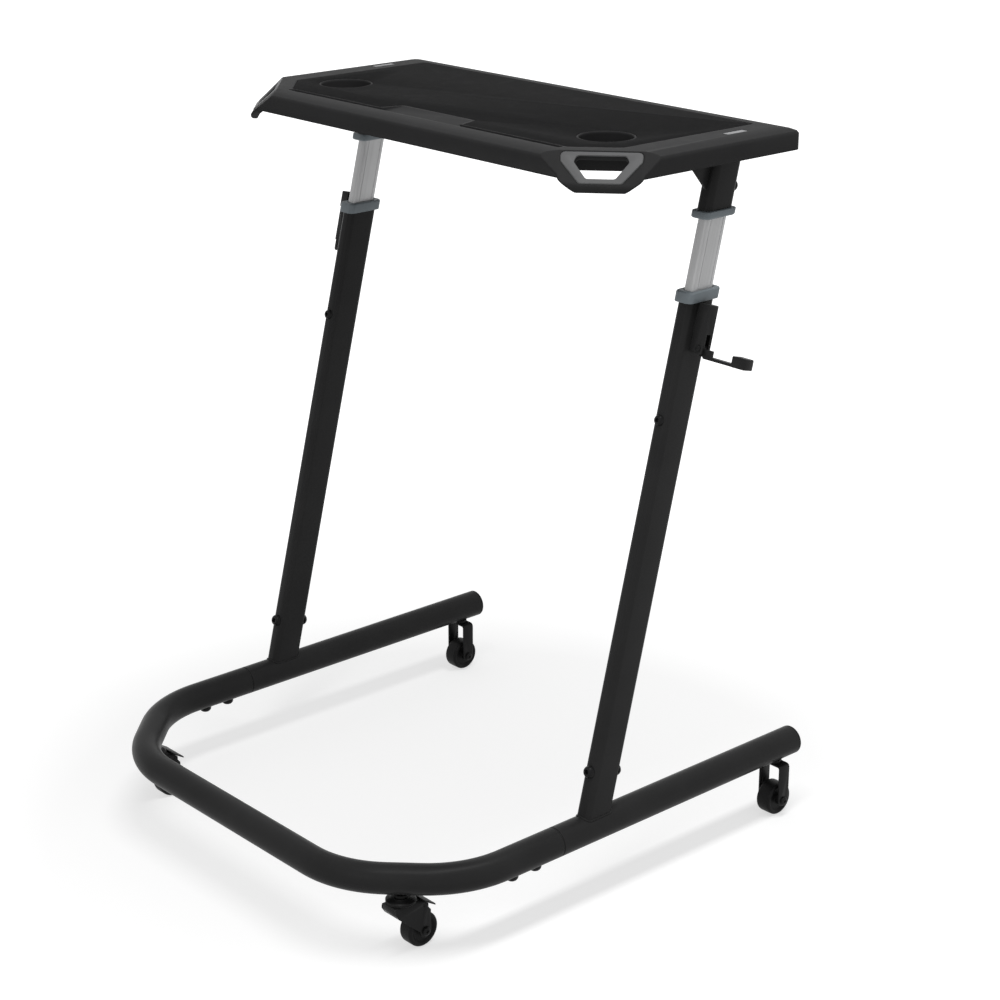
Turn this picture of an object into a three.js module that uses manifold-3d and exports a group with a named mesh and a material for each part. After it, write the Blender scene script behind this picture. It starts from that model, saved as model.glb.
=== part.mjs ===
// A height-adjustable desk on a rolling U-shaped base, used over a bicycle on a trainer.
// Millimetres, Z up. While it is built, X is the width with the middle plane at 0, Y is 0 at the
// centre-line of the front bar and grows towards the rider, and Z is 0 on the floor. At the end the
// whole model is moved so that its origin lies under the centre of its box.
import * as THREE from "three";
import { mergeVertices } from "three/addons/utils/BufferGeometryUtils.js";
import Module from "manifold-3d";

// Fits
const gap = 0.3;
const slack = 0.5;
const overrun = 8;
const weldTolerance = 1e-4;

// Base tube
const legSpacing = 720;
const cornerCut = 122;
const bendRadius = 150;
const tubeDiameter = 43;
const tubeWall = 2;
const railStraight = 95.9;
const footLength = 483.5;
const spigotLength = 92;
const floorToTube = 88;
const capLip = 2.5;
const capDepth = 16;

// Posts
const postWidth = 50;
const postThickness = 25;
const postWall = 2;
const postLean = THREE.MathUtils.degToRad(14);
const postSetback = 69.5;
const postLength = 745.4;
const stubLength = 100;

// Telescoping inner tubes
const innerWidth = 40;
const innerThickness = 18.5;
const innerWall = 1.5;
const innerInPost = 363;
const exposedLength = 97.6;
const grooveDepth = 0.5;
const grooveWidth = 1.2;
const grooveSpacing = 9;
const glideLength = 22;
const glideFloor = 3;

// Collars
const collarWidth = 58;
const collarThickness = 33;
const postCollarHeight = 15.7;
const socketCollarHeight = 10;
const collarBevel = 2.5;
const postSleeve = 42;

// Socket brackets under the desktop
const socketLength = 79.4;
const plateThickness = 4;
const plateWidth = 60;
const plateFront = 80;
const plateBack = 64;
const gussetThickness = 4;
const gussetRise = 50;
const gussetReach = 41;
const plateScrewRadius = 2.6;
const plateScrewInset = 9;

// Height lock
const housingWidth = 16;
const housingProtrusion = 22.5;
const housingWall = 1.5;
const housingTop = 1;
const pivotDrop = 60.8;
const pivotOut = 15;
const pinRadius = 2.5;
const pinHeadRadius = 4.2;
const pinHeadHeight = 1.5;
const camRadius = 5;
const camThrow = 1;
const shoeWidth = 10;
const shoeHeight = 12;
const leverThickness = 4;
const leverDrop = 11.8;
const leverReach = 85.5;
const leverRoot = 8.5;
const leverBlockReach = 19;
const leverBlockRise = 0.5;
const leverBlockWidth = 7;
const gripLength = 24.5;
const gripHeight = 15;
const gripWidth = 15;
const leverTurn = Math.PI / 2;

// Bolts
const railBoltShares = [0.86, 0.4];
const railBoltRadius = 4;
const railBoltHeadRadius = 6.5;
const railBoltHeadHeight = 5;
const postBoltRise = 82;
const postBoltRadius = 4;
const boltDomeRadius = 7;
const boltDomeHeight = 6;
const stopScrewDrop = 165.7;
const stopScrewRadius = 3;
const stopScrewHeadRadius = 6;
const stopScrewHeadHeight = 4.5;
const socketBoltRise = 33;

// Casters
const wheelRadius = 25;
const wheelWidth = 20;
const treadRound = 3;
const wheelDish = 2.5;
const dishOuter = 19;
const hubRadius = 7.5;
const axleRadius = 4;
const axleHeadRadius = 6;
const axleHeadHeight = 3;
const forkPlate = 2.5;
const rearForkInside = 36;
const rearForkWidth = 16;
const rearForkTop = 84;
const rearForkBend = 5;
const rearCasterInset = 31.5;
const stemRadius = 5;
const stemCollarRadius = 9;
const stemInTube = 12;
const frontCasterShare = 0.48;
const frontForkInside = 26;
const frontForkTop = 76;
const trail = 30;
const raceRadius = 21;
const raceThickness = 4;
const kingpinHeadRadius = 8;
const kingpinHeadHeight = 3;
const pedalWidth = 46;
const pedalThickness = 2.5;
const pedalHingeBack = 27;
const pedalHingeDrop = 11;
const pedalPivotRadius = 2;

// Desktop
const deskWidth = 800;
const deskDepth = 370.8;
const deskHeight = 30;
const rimRoundWide = 27;
const rimRoundTall = 8;
const rearCorner = 10;
const skirtWall = 4;
const panelWall = 5;
const ribWall = 2.5;
const ribDrop = 18;
const ribColumns = 4;
const ribRows = 2;
const bracketSetback = 80.6;
const padHeight = 16.7;
const handleCutX = 84.9;
const handleCutY = 76.4;

// Desk mat, tablet slot and cup wells
const matThickness = 2.3;
const matSideMargin = 57;
const matFrontMargin = 43.5;
const matRearMargin = 32.5;
const matFrontCorner = 53;
const matCornerRise = 49;
const matRound = 6;
const notchHalfFront = 88;
const notchHalfBack = 76;
const notchDepth = 33;
const rampDrop = 5;
const slotCentre = 36.8;
const slotWidth = 9;
const slotHalfLength = 286;
const slotDepth = 12;
const slotWall = 3;
const cupSideInset = 126;
const cupFrontInset = 129.3;
const cupRadius = 40;
const cupWall = 3;
const cupDepth = 23;
const cupSides = 20;
const linerRoom = 1;
const linerFlangeReach = 6;
const linerFlange = 1.7;

// Moulded corner handles. Along is measured along the cut corner, down is measured down its face.
const faceSlope = THREE.MathUtils.degToRad(42);
const handleThickness = 9.5;
const faceTopInset = 27;
const faceLength = 55;
const lobeRound = 5;
const lobeHalfTop = 56;
const lobeHalfBottom = 31;
const lobeTaperStart = 30;
const lobeBottom = 47;
const pocketHalf = 46;
const pocketInset = 47.5;
const holeDown = [8, 18, 44.5];
const holeHalf = [31.5, 35.5, 18.5];
const holeRound = 5;
const bezelDown = [2, 17.5, 52];
const bezelHalf = [53, 52.3, 27.5];
const bezelRound = 6;
const bezelThickness = 2.5;
const bezelRecess = 1.5;
const bezelBevel = 1;

// Values worked out from the sizes above
const tubeRadius = tubeDiameter / 2;
const tubeSides = 16;
const boreSides = 10;
const boreRadius = tubeRadius - tubeWall;
const legX = legSpacing / 2;
const tubeHeight = floorToTube + tubeRadius;
const railLeg = cornerCut + bendRadius * Math.tan(Math.PI / 8) + railStraight;
const postFootY = railLeg + postSetback;
const railBoltPlaces = railBoltShares.map((share) => railLeg - spigotLength * share);
const postBoreWidth = postWidth - 2 * postWall;
const postBoreThickness = postThickness - 2 * postWall;
const postTopY = postFootY + postLength * Math.sin(postLean);
const postTopZ = tubeHeight + postLength * Math.cos(postLean);
const postCollarTop = gap + postCollarHeight;
const socketCollarBottom = postCollarTop + exposedLength;
const socketBottom = socketCollarBottom + socketCollarHeight + gap;
const plateAlong = socketBottom + socketLength;
const plateZ = postTopZ + plateAlong * Math.cos(postLean);
const bracketY = postTopY + plateAlong * Math.sin(postLean);
const deskTopZ = plateZ + plateThickness + gap + padHeight;
const deskY = bracketY - bracketSetback;
const halfWidth = deskWidth / 2;
const halfDepth = deskDepth / 2;
const innerTop = plateAlong - postThickness;
const housingFace = postThickness / 2;
const pivotX = housingFace + pivotOut;
const camShift = camThrow / 2;
const shoeTip = innerThickness / 2 + gap + camThrow;
const shoeBack = pivotX - camRadius + camShift - gap;
const slopeCos = Math.cos(faceSlope);
const slopeSin = Math.sin(faceSlope);

const wasm = await Module();
wasm.setup();

// Solids and booleans

function solidOf(geometry) {
  const bare = geometry.index ? geometry.toNonIndexed() : geometry.clone();
  bare.deleteAttribute("normal");
  bare.deleteAttribute("uv");
  const merged = mergeVertices(bare, weldTolerance);
  const corners = merged.index.array;
  const triangles = [];
  for (let i = 0; i < corners.length; i += 3) {
    const [a, b, c] = [corners[i], corners[i + 1], corners[i + 2]];
    if (a !== b && b !== c && c !== a) triangles.push(a, b, c);
  }
  const vertProperties = merged.attributes.position.array;
  const build = (list) =>
    new wasm.Manifold(new wasm.Mesh({ numProp: 3, vertProperties, triVerts: new Uint32Array(list) }));
  const solid = build(triangles);
  return solid.volume() < 0 ? build(triangles.reverse()) : solid;
}

function geometryOf(solid) {
  const mesh = solid.getMesh();
  const geometry = new THREE.BufferGeometry();
  geometry.setAttribute("position", new THREE.BufferAttribute(new Float32Array(mesh.vertProperties), 3));
  geometry.setIndex(new THREE.BufferAttribute(new Uint32Array(mesh.triVerts), 1));
  return geometry;
}

function join(...pieces) {
  return geometryOf(pieces.map(solidOf).reduce((a, b) => a.add(b)));
}

function cut(piece, ...tools) {
  return geometryOf(tools.map(solidOf).reduce((a, b) => a.subtract(b), solidOf(piece)));
}

function common(...pieces) {
  return geometryOf(pieces.map(solidOf).reduce((a, b) => a.intersect(b)));
}

// Simple shapes

const turnTo = {
  x: new THREE.Matrix4().makeRotationZ(-Math.PI / 2),
  y: new THREE.Matrix4(),
  z: new THREE.Matrix4().makeRotationX(Math.PI / 2),
};

function box(x0, x1, y0, y1, z0, z1) {
  const geometry = new THREE.BoxGeometry(x1 - x0, y1 - y0, z1 - z0);
  return geometry.translate((x0 + x1) / 2, (y0 + y1) / 2, (z0 + z1) / 2);
}

// A turned shape. The profile is a list of [radius, place along the axis].
function turned(axis, profile, sides = 16) {
  const points = profile.map(([radius, along]) => new THREE.Vector2(radius, along));
  return new THREE.LatheGeometry(points, sides).applyMatrix4(turnTo[axis]);
}

function rod(axis, radius, from, to, sides = 16) {
  return turned(axis, [[0, from], [radius, from], [radius, to], [0, to]], sides);
}

// A domed bolt head that rises from its seat at a place on its axis, upwards or downwards
function dome(axis, radius, seat, height, sides = 8) {
  const steps = 2;
  const profile = [[0, seat]];
  for (let i = 0; i <= steps; i++) {
    const turn = (Math.PI / 2) * (i / steps);
    profile.push([i === steps ? 0 : radius * Math.cos(turn), seat + height * Math.sin(turn)]);
  }
  return turned(axis, profile, sides);
}

function extruded(shape, depth) {
  return new THREE.ExtrudeGeometry(shape, { depth, bevelEnabled: false, steps: 1 });
}

// An outline extruded along X: its points are [y, z]
function alongX(shape, from, to) {
  const turn = new THREE.Matrix4().makeBasis(
    new THREE.Vector3(0, 1, 0), new THREE.Vector3(0, 0, 1), new THREE.Vector3(1, 0, 0));
  return extruded(shape, to - from).applyMatrix4(turn).translate(from, 0, 0);
}

// An outline extruded along Y: its points are [x, z]
function alongY(shape, from, to) {
  const turn = new THREE.Matrix4().makeBasis(
    new THREE.Vector3(1, 0, 0), new THREE.Vector3(0, 0, 1), new THREE.Vector3(0, -1, 0));
  return extruded(shape, to - from).applyMatrix4(turn).translate(0, to, 0);
}

function alongZ(shape, from, to) {
  return extruded(shape, to - from).translate(0, 0, from);
}

// The points of a polygon whose corners are rounded. A corner is [x, y, radius].
function roundedPoints(corners, steps = 4) {
  const points = [];
  corners.forEach(([x, y, radius = 0], i) => {
    const here = new THREE.Vector2(x, y);
    const [px, py] = corners[(i + corners.length - 1) % corners.length];
    const [nx, ny] = corners[(i + 1) % corners.length];
    const before = new THREE.Vector2(px - x, py - y);
    const after = new THREE.Vector2(nx - x, ny - y);
    if (radius === 0) {
      points.push(here);
      return;
    }
    const half = Math.acos(before.dot(after) / (before.length() * after.length())) / 2;
    const room = Math.min(before.length(), after.length()) / 2;
    const reach = Math.min(radius / Math.tan(half), room);
    const from = here.clone().addScaledVector(before.normalize(), reach);
    const to = here.clone().addScaledVector(after.normalize(), reach);
    const middle = before.clone().add(after).normalize();
    const centre = here.clone().addScaledVector(middle, reach / Math.cos(half));
    const start = Math.atan2(from.y - centre.y, from.x - centre.x);
    let sweep = Math.atan2(to.y - centre.y, to.x - centre.x) - start;
    if (sweep > Math.PI) sweep -= 2 * Math.PI;
    if (sweep < -Math.PI) sweep += 2 * Math.PI;
    const arc = from.distanceTo(centre);
    for (let k = 0; k <= steps; k++) {
      const turn = start + (sweep * k) / steps;
      points.push(new THREE.Vector2(centre.x + arc * Math.cos(turn), centre.y + arc * Math.sin(turn)));
    }
  });
  return points;
}

function roundedShape(corners, steps) {
  return new THREE.Shape(roundedPoints(corners, steps));
}

// A flat oval, thick along X and wide along Y
function ovalPoints(thickness, width, steps = 4) {
  const radius = thickness / 2;
  const reach = (width - thickness) / 2;
  const points = [];
  for (const end of [1, -1]) {
    for (let i = 0; i <= steps; i++) {
      const turn = Math.PI * (i / steps);
      points.push(new THREE.Vector2(end * radius * Math.cos(turn), end * (reach + radius * Math.sin(turn))));
    }
  }
  return points;
}

function ovalBar(thickness, width, from, to, steps) {
  return alongZ(new THREE.Shape(ovalPoints(thickness, width, steps)), from, to);
}

function ovalTube(thickness, width, wall, from, to, steps) {
  const shape = new THREE.Shape(ovalPoints(thickness, width, steps));
  shape.holes.push(new THREE.Path(ovalPoints(thickness - 2 * wall, width - 2 * wall, steps)));
  return alongZ(shape, from, to);
}

// A skin over rings of points that all have as many points, closed with flat convex ends
function lofted(rings) {
  const count = rings[0].length;
  const positions = rings.flat().flatMap((p) => [p.x, p.y, p.z]);
  const index = [];
  for (let r = 0; r + 1 < rings.length; r++) {
    for (let i = 0; i < count; i++) {
      const a = r * count + i;
      const b = r * count + ((i + 1) % count);
      index.push(a, b, b + count, a, b + count, a + count);
    }
  }
  const last = (rings.length - 1) * count;
  for (let i = 1; i + 1 < count; i++) {
    index.push(0, i + 1, i);
    index.push(last, last + i, last + i + 1);
  }
  const geometry = new THREE.BufferGeometry();
  geometry.setAttribute("position", new THREE.Float32BufferAttribute(positions, 3));
  geometry.setIndex(index);
  return geometry;
}

function ringAt(points, z) {
  return points.map((p) => new THREE.Vector3(p.x, p.y, z));
}

// A copy of a shape on the other side of the middle plane
function mirrored(geometry) {
  return geometry.clone().scale(-1, 1, 1);
}

function bothSides(...shapes) {
  return shapes.flatMap((shape) => [shape, mirrored(shape)]);
}

// Finishes

const finishes = {
  frame: { color: 0x242425, roughness: 0.45, metalness: 0.35 },
  hardware: { color: 0x1b1b1c, roughness: 0.35, metalness: 0.6 },
  plastic: { color: 0x2d2e30, roughness: 0.55, metalness: 0 },
  mat: { color: 0x1c1c1d, roughness: 0.85, metalness: 0 },
  bezel: { color: 0x737476, roughness: 0.5, metalness: 0 },
  collar: { color: 0x5a646d, roughness: 0.55, metalness: 0 },
  silver: { color: 0xa9aaac, roughness: 0.35, metalness: 0.7 },
  wheel: { color: 0x1a1a1b, roughness: 0.5, metalness: 0 },
};

function piece(name, finish, geometry) {
  const flat = geometry.index ? geometry.toNonIndexed() : geometry;
  flat.computeVertexNormals();
  const mesh = new THREE.Mesh(flat, new THREE.MeshStandardMaterial(finishes[finish]));
  mesh.name = name;
  return mesh;
}

function group(...children) {
  const holder = new THREE.Group();
  holder.add(...children);
  return holder;
}

// Base: the rail is one tube bent to a U with cut corners

class StationPath extends THREE.Curve {
  constructor(stations) {
    super();
    this.stations = stations;
  }
  at(t) {
    return this.stations[Math.round(t * (this.stations.length - 1))];
  }
  getUtoTmapping(u) {
    return u;
  }
  getPoint(t, target = new THREE.Vector3()) {
    return target.copy(this.at(t).point);
  }
  getTangent(t, target = new THREE.Vector3()) {
    return target.copy(this.at(t).tangent);
  }
}

// Stations along a flat route of straight runs and round bends, at the ends and round each bend
function bentRoute(corners, radius, bendSteps) {
  const stations = [];
  const add = (x, y, dx, dy) => {
    const tangent = new THREE.Vector3(dx, dy, 0).normalize();
    stations.push({ point: new THREE.Vector3(x, y, 0), tangent });
  };
  corners.forEach((corner, i) => {
    const before = i > 0 ? corner.clone().sub(corners[i - 1]).normalize() : null;
    const after = i + 1 < corners.length ? corners[i + 1].clone().sub(corner).normalize() : null;
    if (!before || !after) {
      const way = before || after;
      add(corner.x, corner.y, way.x, way.y);
      return;
    }
    const turn = before.angleTo(after);
    const side = Math.sign(before.cross(after));
    const reach = radius * Math.tan(turn / 2);
    const start = corner.clone().addScaledVector(before, -reach);
    const centre = new THREE.Vector2(start.x - side * radius * before.y, start.y + side * radius * before.x);
    for (let k = 0; k <= bendSteps; k++) {
      const angle = (side * turn * k) / bendSteps;
      const way = before.clone().rotateAround(new THREE.Vector2(), angle);
      add(centre.x + side * radius * way.y, centre.y - side * radius * way.x, way.x, way.y);
    }
  });
  return new StationPath(stations);
}

function circle(radius, sides, Kind = THREE.Shape) {
  const points = [];
  for (let i = 0; i < sides; i++) {
    const turn = (2 * Math.PI * i) / sides;
    points.push(new THREE.Vector2(radius * Math.cos(turn), radius * Math.sin(turn)));
  }
  return new Kind(points);
}

// A hole for an upright bolt or stem through the underside of a base tube
function holeBelow(radius, x, y) {
  return rod("z", radius + gap, -tubeRadius - overrun, 0, 10).translate(x, y, 0);
}

// The place of a front caster's stem, on the straight run of the cut corner
const stemX = legX - cornerCut + cornerCut * frontCasterShare;
const stemY = cornerCut * frontCasterShare;

function frontRail() {
  const inside = legX - cornerCut;
  const right = [[inside, 0], [legX, cornerCut], [legX, railLeg]];
  const corners = [...right.map(([x, y]) => [-x, y]).reverse(), ...right];
  const path = bentRoute(corners.map(([x, y]) => new THREE.Vector2(x, y)), bendRadius, 3);
  const section = circle(tubeRadius, tubeSides);
  section.holes.push(circle(boreRadius, boreSides, THREE.Path));
  const steps = path.stations.length - 1;
  const tube = new THREE.ExtrudeGeometry(section, { steps, bevelEnabled: false, extrudePath: path });
  const boltHoles = railBoltPlaces.map((y) => holeBelow(railBoltRadius, legX, y));
  return cut(tube, ...bothSides(...boltHoles, holeBelow(stemRadius, stemX, stemY)));
}

// The foot tube runs back from the rail. Its swaged end slides into the rail, and an oval stub welded
// on top carries the post.
const footEnd = railLeg + footLength;
const rearCasterY = footEnd - rearCasterInset;

function postBoltHole() {
  return rod("y", postBoltRadius + gap, -postWidth, postWidth, 8).translate(0, 0, postBoltRise);
}

function footTube() {
  const spigotRadius = boreRadius * Math.cos(Math.PI / boreSides) - gap;
  const spigotBore = spigotRadius - tubeWall;
  const seam = railLeg + gap;
  const swageEnd = seam + tubeRadius;
  const tube = turned("y", [
    [spigotBore, railLeg - spigotLength],
    [spigotRadius, railLeg - spigotLength],
    [spigotRadius, seam],
    [tubeRadius, seam],
    [tubeRadius, footEnd],
    [boreRadius, footEnd],
    [boreRadius, swageEnd],
    [spigotBore, seam],
    [spigotBore, railLeg - spigotLength],
  ], tubeSides);
  const stub = ovalTube(postBoreThickness - 2 * gap, postBoreWidth - 2 * gap, postWall, 0, stubLength)
    .rotateX(-postLean)
    .translate(0, postFootY, 0);
  const bore = rod("y", boreRadius, postFootY - stubLength, postFootY + stubLength, tubeSides);
  const boltHole = postBoltHole().rotateX(-postLean).translate(0, postFootY, 0);
  const railHoles = railBoltPlaces.map((y) => holeBelow(railBoltRadius, 0, y));
  return cut(join(tube, cut(stub, bore)), boltHole, holeBelow(stemRadius, 0, rearCasterY), ...railHoles);
}

function footCap() {
  const plug = boreRadius - gap;
  const inner = plug - tubeWall;
  const face = gap + capLip;
  return turned("y", [
    [0, gap],
    [inner, gap],
    [inner, -capDepth],
    [plug, -capDepth],
    [plug, gap],
    [tubeRadius, gap],
    [tubeRadius, gap + capLip / 2],
    [tubeRadius - capLip / 2, face],
    [0, face],
  ], tubeSides);
}

// A bolt from below through the rail and the foot tube's spigot
function railBolt() {
  const seat = -tubeRadius - gap;
  const shaft = rod("z", railBoltRadius, seat, seat + tubeRadius / 2, 8);
  const head = dome("z", railBoltHeadRadius, 0, railBoltHeadHeight).rotateX(Math.PI);
  return join(shaft, head.translate(0, 0, seat));
}

// Posts. Their frame stands on the foot tube's axis, with Z along the leaning post.

function postTube() {
  const tube = ovalTube(postThickness, postWidth, postWall, 0, postLength);
  const saddle = rod("y", tubeRadius + gap, -postWidth, postWidth, 24).rotateX(postLean);
  const pivotZ = postLength - pivotDrop;
  const halfShoe = shoeWidth / 2 + gap;
  const shoeSlot = box(0, postThickness, -halfShoe, halfShoe,
    pivotZ - shoeHeight / 2 - gap, pivotZ + shoeHeight / 2 + gap);
  const stopHole = rod("y", stopScrewRadius + gap, -postWidth, 0, 8)
    .translate(0, 0, postLength - stopScrewDrop);
  return cut(tube, saddle, shoeSlot, stopHole, postBoltHole());
}

function postBolt() {
  const seat = postWidth / 2 + gap;
  const head = dome("y", boltDomeRadius, seat, boltDomeHeight);
  return join(rod("y", postBoltRadius, -seat, seat, 8), head, head.clone().rotateX(Math.PI));
}

// From here down the frame stands at the top of the post.

// A collar that closes an oval tube, with a sleeve that guides the inner tube. Built with the sleeve
// upwards from its flange, which has its bevel on the other side.
function collar(height, sleeve) {
  const step = (inset, z) => ringAt(ovalPoints(collarThickness - 2 * inset, collarWidth - 2 * inset), z);
  const flange = lofted([step(collarBevel, 0), step(0, collarBevel), step(0, height)]);
  const guide = ovalBar(postBoreThickness - 2 * gap, postBoreWidth - 2 * gap, collarBevel, height + sleeve);
  const passage = ovalBar(innerThickness + 2 * gap, innerWidth + 2 * gap,
    -overrun, height + sleeve + overrun);
  return cut(join(flange, guide), passage);
}

function postCollar() {
  return collar(postCollarHeight, postSleeve + gap).rotateX(Math.PI).translate(0, 0, postCollarTop);
}

const socketBoltZ = socketBottom + socketBoltRise;

function socketBoltHole() {
  return rod("y", postBoltRadius + gap, 0, postWidth, 8).translate(0, 0, socketBoltZ);
}

function socketCollar() {
  const sleeve = socketBoltRise + postWidth / 2;
  return cut(collar(socketCollarHeight, sleeve).translate(0, 0, socketCollarBottom), socketBoltHole());
}

function innerTube() {
  const tube = ovalTube(innerThickness, innerWidth, innerWall, -innerInPost, innerTop);
  const face = innerThickness / 2;
  const grooves = [-1, 1].map((way) => {
    const y = (way * grooveSpacing) / 2;
    return box(face - grooveDepth, face + overrun, y - grooveWidth / 2, y + grooveWidth / 2,
      -innerInPost - overrun, innerTop + overrun);
  });
  return cut(tube, ...bothSides(...grooves), socketBoltHole());
}

// The stop plug on the lower end of the inner tube, which meets the stop screw at full height
function innerGlide() {
  const bottom = -innerInPost - gap - glideFloor;
  const plug = ovalBar(postBoreThickness - 2 * gap, postBoreWidth - 2 * gap,
    bottom, bottom + glideFloor + glideLength);
  const seat = ovalBar(innerThickness + 2 * gap, innerWidth + 2 * gap, bottom + glideFloor, 0);
  return cut(plug, seat);
}

function stopScrew() {
  const seat = -postWidth / 2 - gap;
  const tip = -innerWidth / 2 - 2 * gap;
  const head = dome("y", stopScrewHeadRadius, 0, stopScrewHeadHeight).rotateX(Math.PI).translate(0, seat, 0);
  return join(rod("y", stopScrewRadius, seat, tip, 8), head).translate(0, 0, -stopScrewDrop);
}

function socketBolt() {
  const seat = postWidth / 2 + gap;
  const tip = innerWidth / 2 - innerWall - gap - railBoltRadius;
  const shaft = rod("y", postBoltRadius, tip, seat, 8);
  return join(shaft, dome("y", boltDomeRadius, seat, boltDomeHeight)).translate(0, 0, socketBoltZ);
}

// Height lock. The housing is a cover on the outer side of the post, open towards the post and below.
// Its outer wall is slotted from below for the root of the lever, which folds up over it.

function lockHousing() {
  const inside = housingFace + gap;
  const outside = housingFace + housingProtrusion;
  const bottom = leverThickness - leverDrop - pivotDrop + 2 * gap;
  const half = housingWidth / 2;
  const cover = alongY(roundedShape([
    [inside, bottom, housingWall],
    [outside, bottom, 2 * housingWall],
    [outside, -housingTop, housingWall],
    [inside, -housingTop],
  ], 3), -half, half);
  const flange = half - housingWall;
  const hollow = box(inside - overrun, outside - housingWall, -flange, flange,
    bottom - overrun, -housingTop - housingWall);
  const halfSlot = leverBlockWidth / 2 + slack;
  const slot = box(inside, outside + overrun, -halfSlot, halfSlot,
    bottom - overrun, leverBlockReach + 2 * slack - pivotDrop);
  const pinHole = rod("y", pinRadius + gap, -housingWidth, housingWidth, 8).translate(pivotX, 0, -pivotDrop);
  return cut(cover, hollow, slot, pinHole);
}

// Made about the pivot, with the lever swung out along X. The cam is set off the pivot so that it
// stands nearer the shoe by its throw once the lever is folded up.
function lockLever() {
  const half = housingWidth / 2 - housingWall - slack;
  const halfBlock = leverBlockWidth / 2;
  const armTop = leverThickness - leverDrop;
  const cam = rod("y", camRadius, -half, half, 16).translate(camShift, 0, camShift);
  const arm = alongY(roundedShape([
    [leverRoot, -leverDrop, leverThickness / 2],
    [leverReach, -leverDrop, leverThickness / 2],
    [leverReach, armTop],
    [leverRoot, armTop],
  ], 3), -half, half);
  const root = alongY(roundedShape([
    [0, armTop - leverThickness / 2, leverThickness / 2],
    [leverBlockReach, armTop - leverThickness / 2],
    [leverBlockReach, leverBlockRise, leverThickness / 4],
    [0, leverBlockRise],
  ], 3), -halfBlock, halfBlock);
  const grip = alongY(roundedShape([
    [leverReach - gripLength, -leverDrop, leverThickness / 2],
    [leverReach, -leverDrop, leverThickness / 2],
    [leverReach, gripHeight - leverDrop, leverThickness / 2],
    [leverReach - gripLength, gripHeight - leverDrop, leverThickness / 2],
  ], 3), -gripWidth / 2, gripWidth / 2);
  return cut(join(cam, arm, root, grip), rod("y", pinRadius + gap, -housingWidth, housingWidth, 8));
}

function leverPin() {
  const seat = housingWidth / 2 + gap;
  return turned("y", [
    [0, -seat - pinHeadHeight],
    [pinHeadRadius - pinHeadHeight / 2, -seat - pinHeadHeight],
    [pinHeadRadius, -seat - pinHeadHeight / 2],
    [pinHeadRadius, -seat],
    [pinRadius, -seat],
    [pinRadius, seat],
    [pinHeadRadius, seat],
    [pinRadius, seat + pinHeadHeight],
    [0, seat + pinHeadHeight],
  ], 8).translate(pivotX, 0, -pivotDrop);
}

function clampShoe() {
  const half = shoeWidth / 2;
  const high = shoeHeight / 2;
  const body = roundedShape([[shoeTip, -high, slack], [shoeBack, -high, 2 * slack],
    [shoeBack, high, 2 * slack], [shoeTip, high, slack]], 2);
  return alongY(body, -half, half).translate(0, 0, -pivotDrop);
}

// The socket bracket, in an upright frame where the post's axis meets the plate's underside
function socketBracket() {
  const leaning = (shape) => shape.rotateX(-postLean);
  const reach = postWidth;
  const below = box(-reach, reach, -plateFront, plateFront, -2 * socketLength, plateThickness / 2);
  const belowPlate = box(-reach, reach, -plateFront, plateFront, -2 * socketLength, 0);
  const socket = common(leaning(ovalBar(postThickness, postWidth, -socketLength, reach)), below);
  const bore = common(
    leaning(ovalBar(postBoreThickness, postBoreWidth, -socketLength - overrun, reach)), belowPlate);
  const plate = alongZ(roundedShape([
    [-plateWidth / 2, -plateFront, plateThickness],
    [plateWidth / 2, -plateFront, plateThickness],
    [plateWidth / 2, plateBack, plateThickness],
    [-plateWidth / 2, plateBack, plateThickness],
  ], 3), 0, plateThickness);
  const faceAtPlate = -postWidth / 2 / Math.cos(postLean);
  const faceBelow = faceAtPlate - gussetRise * Math.tan(postLean);
  const gusset = alongX(new THREE.Shape([
    new THREE.Vector2(0, plateThickness / 2),
    new THREE.Vector2(faceBelow - gussetReach, plateThickness / 2),
    new THREE.Vector2(faceBelow - gussetReach, 0),
    new THREE.Vector2(faceBelow, -gussetRise),
    new THREE.Vector2(faceBelow + postWall, -gussetRise),
  ]), -gussetThickness / 2, gussetThickness / 2);
  const screwX = plateWidth / 2 - plateScrewInset;
  const screwHoles = [-plateFront + plateScrewInset, plateBack - plateScrewInset].map((y) =>
    rod("z", plateScrewRadius, -overrun, overrun, 8).translate(screwX, y, 0));
  const boltHole = leaning(rod("y", postBoltRadius + gap, 0, postWidth, 8)
    .translate(0, 0, socketBoltRise - socketLength));
  return cut(join(socket, plate, gusset), bore, boltHole, ...bothSides(...screwHoles));
}

// Casters. The frame of each stands on the floor under its stem.

// A wheel about X with a boss on each side, a dished face and a rounded tread
function wheel(hubHalf) {
  const half = wheelWidth / 2;
  const flank = [
    [axleRadius + gap, hubHalf],
    [hubRadius, hubHalf],
    [hubRadius, half - wheelDish],
    [dishOuter, half - wheelDish],
    [dishOuter + wheelDish / 2, half],
  ];
  flank.push([wheelRadius - treadRound, half], [wheelRadius, half - treadRound]);
  const other = flank.map(([radius, x]) => [radius, -x]).reverse();
  return turned("x", [...flank, ...other, flank[0]].reverse(), 14);
}

function axle(forkInside) {
  const seat = forkInside / 2 + forkPlate + gap;
  const head = seat + axleHeadHeight;
  return turned("x", [
    [0, -head],
    [axleHeadRadius - axleHeadHeight / 3, -head],
    [axleHeadRadius, -head + axleHeadHeight / 3],
    [axleHeadRadius, -seat],
    [axleRadius, -seat],
    [axleRadius, seat],
    [axleHeadRadius, seat],
    [axleHeadRadius, head - axleHeadHeight / 3],
    [axleHeadRadius - axleHeadHeight / 3, head],
    [0, head],
  ], 8);
}

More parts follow.
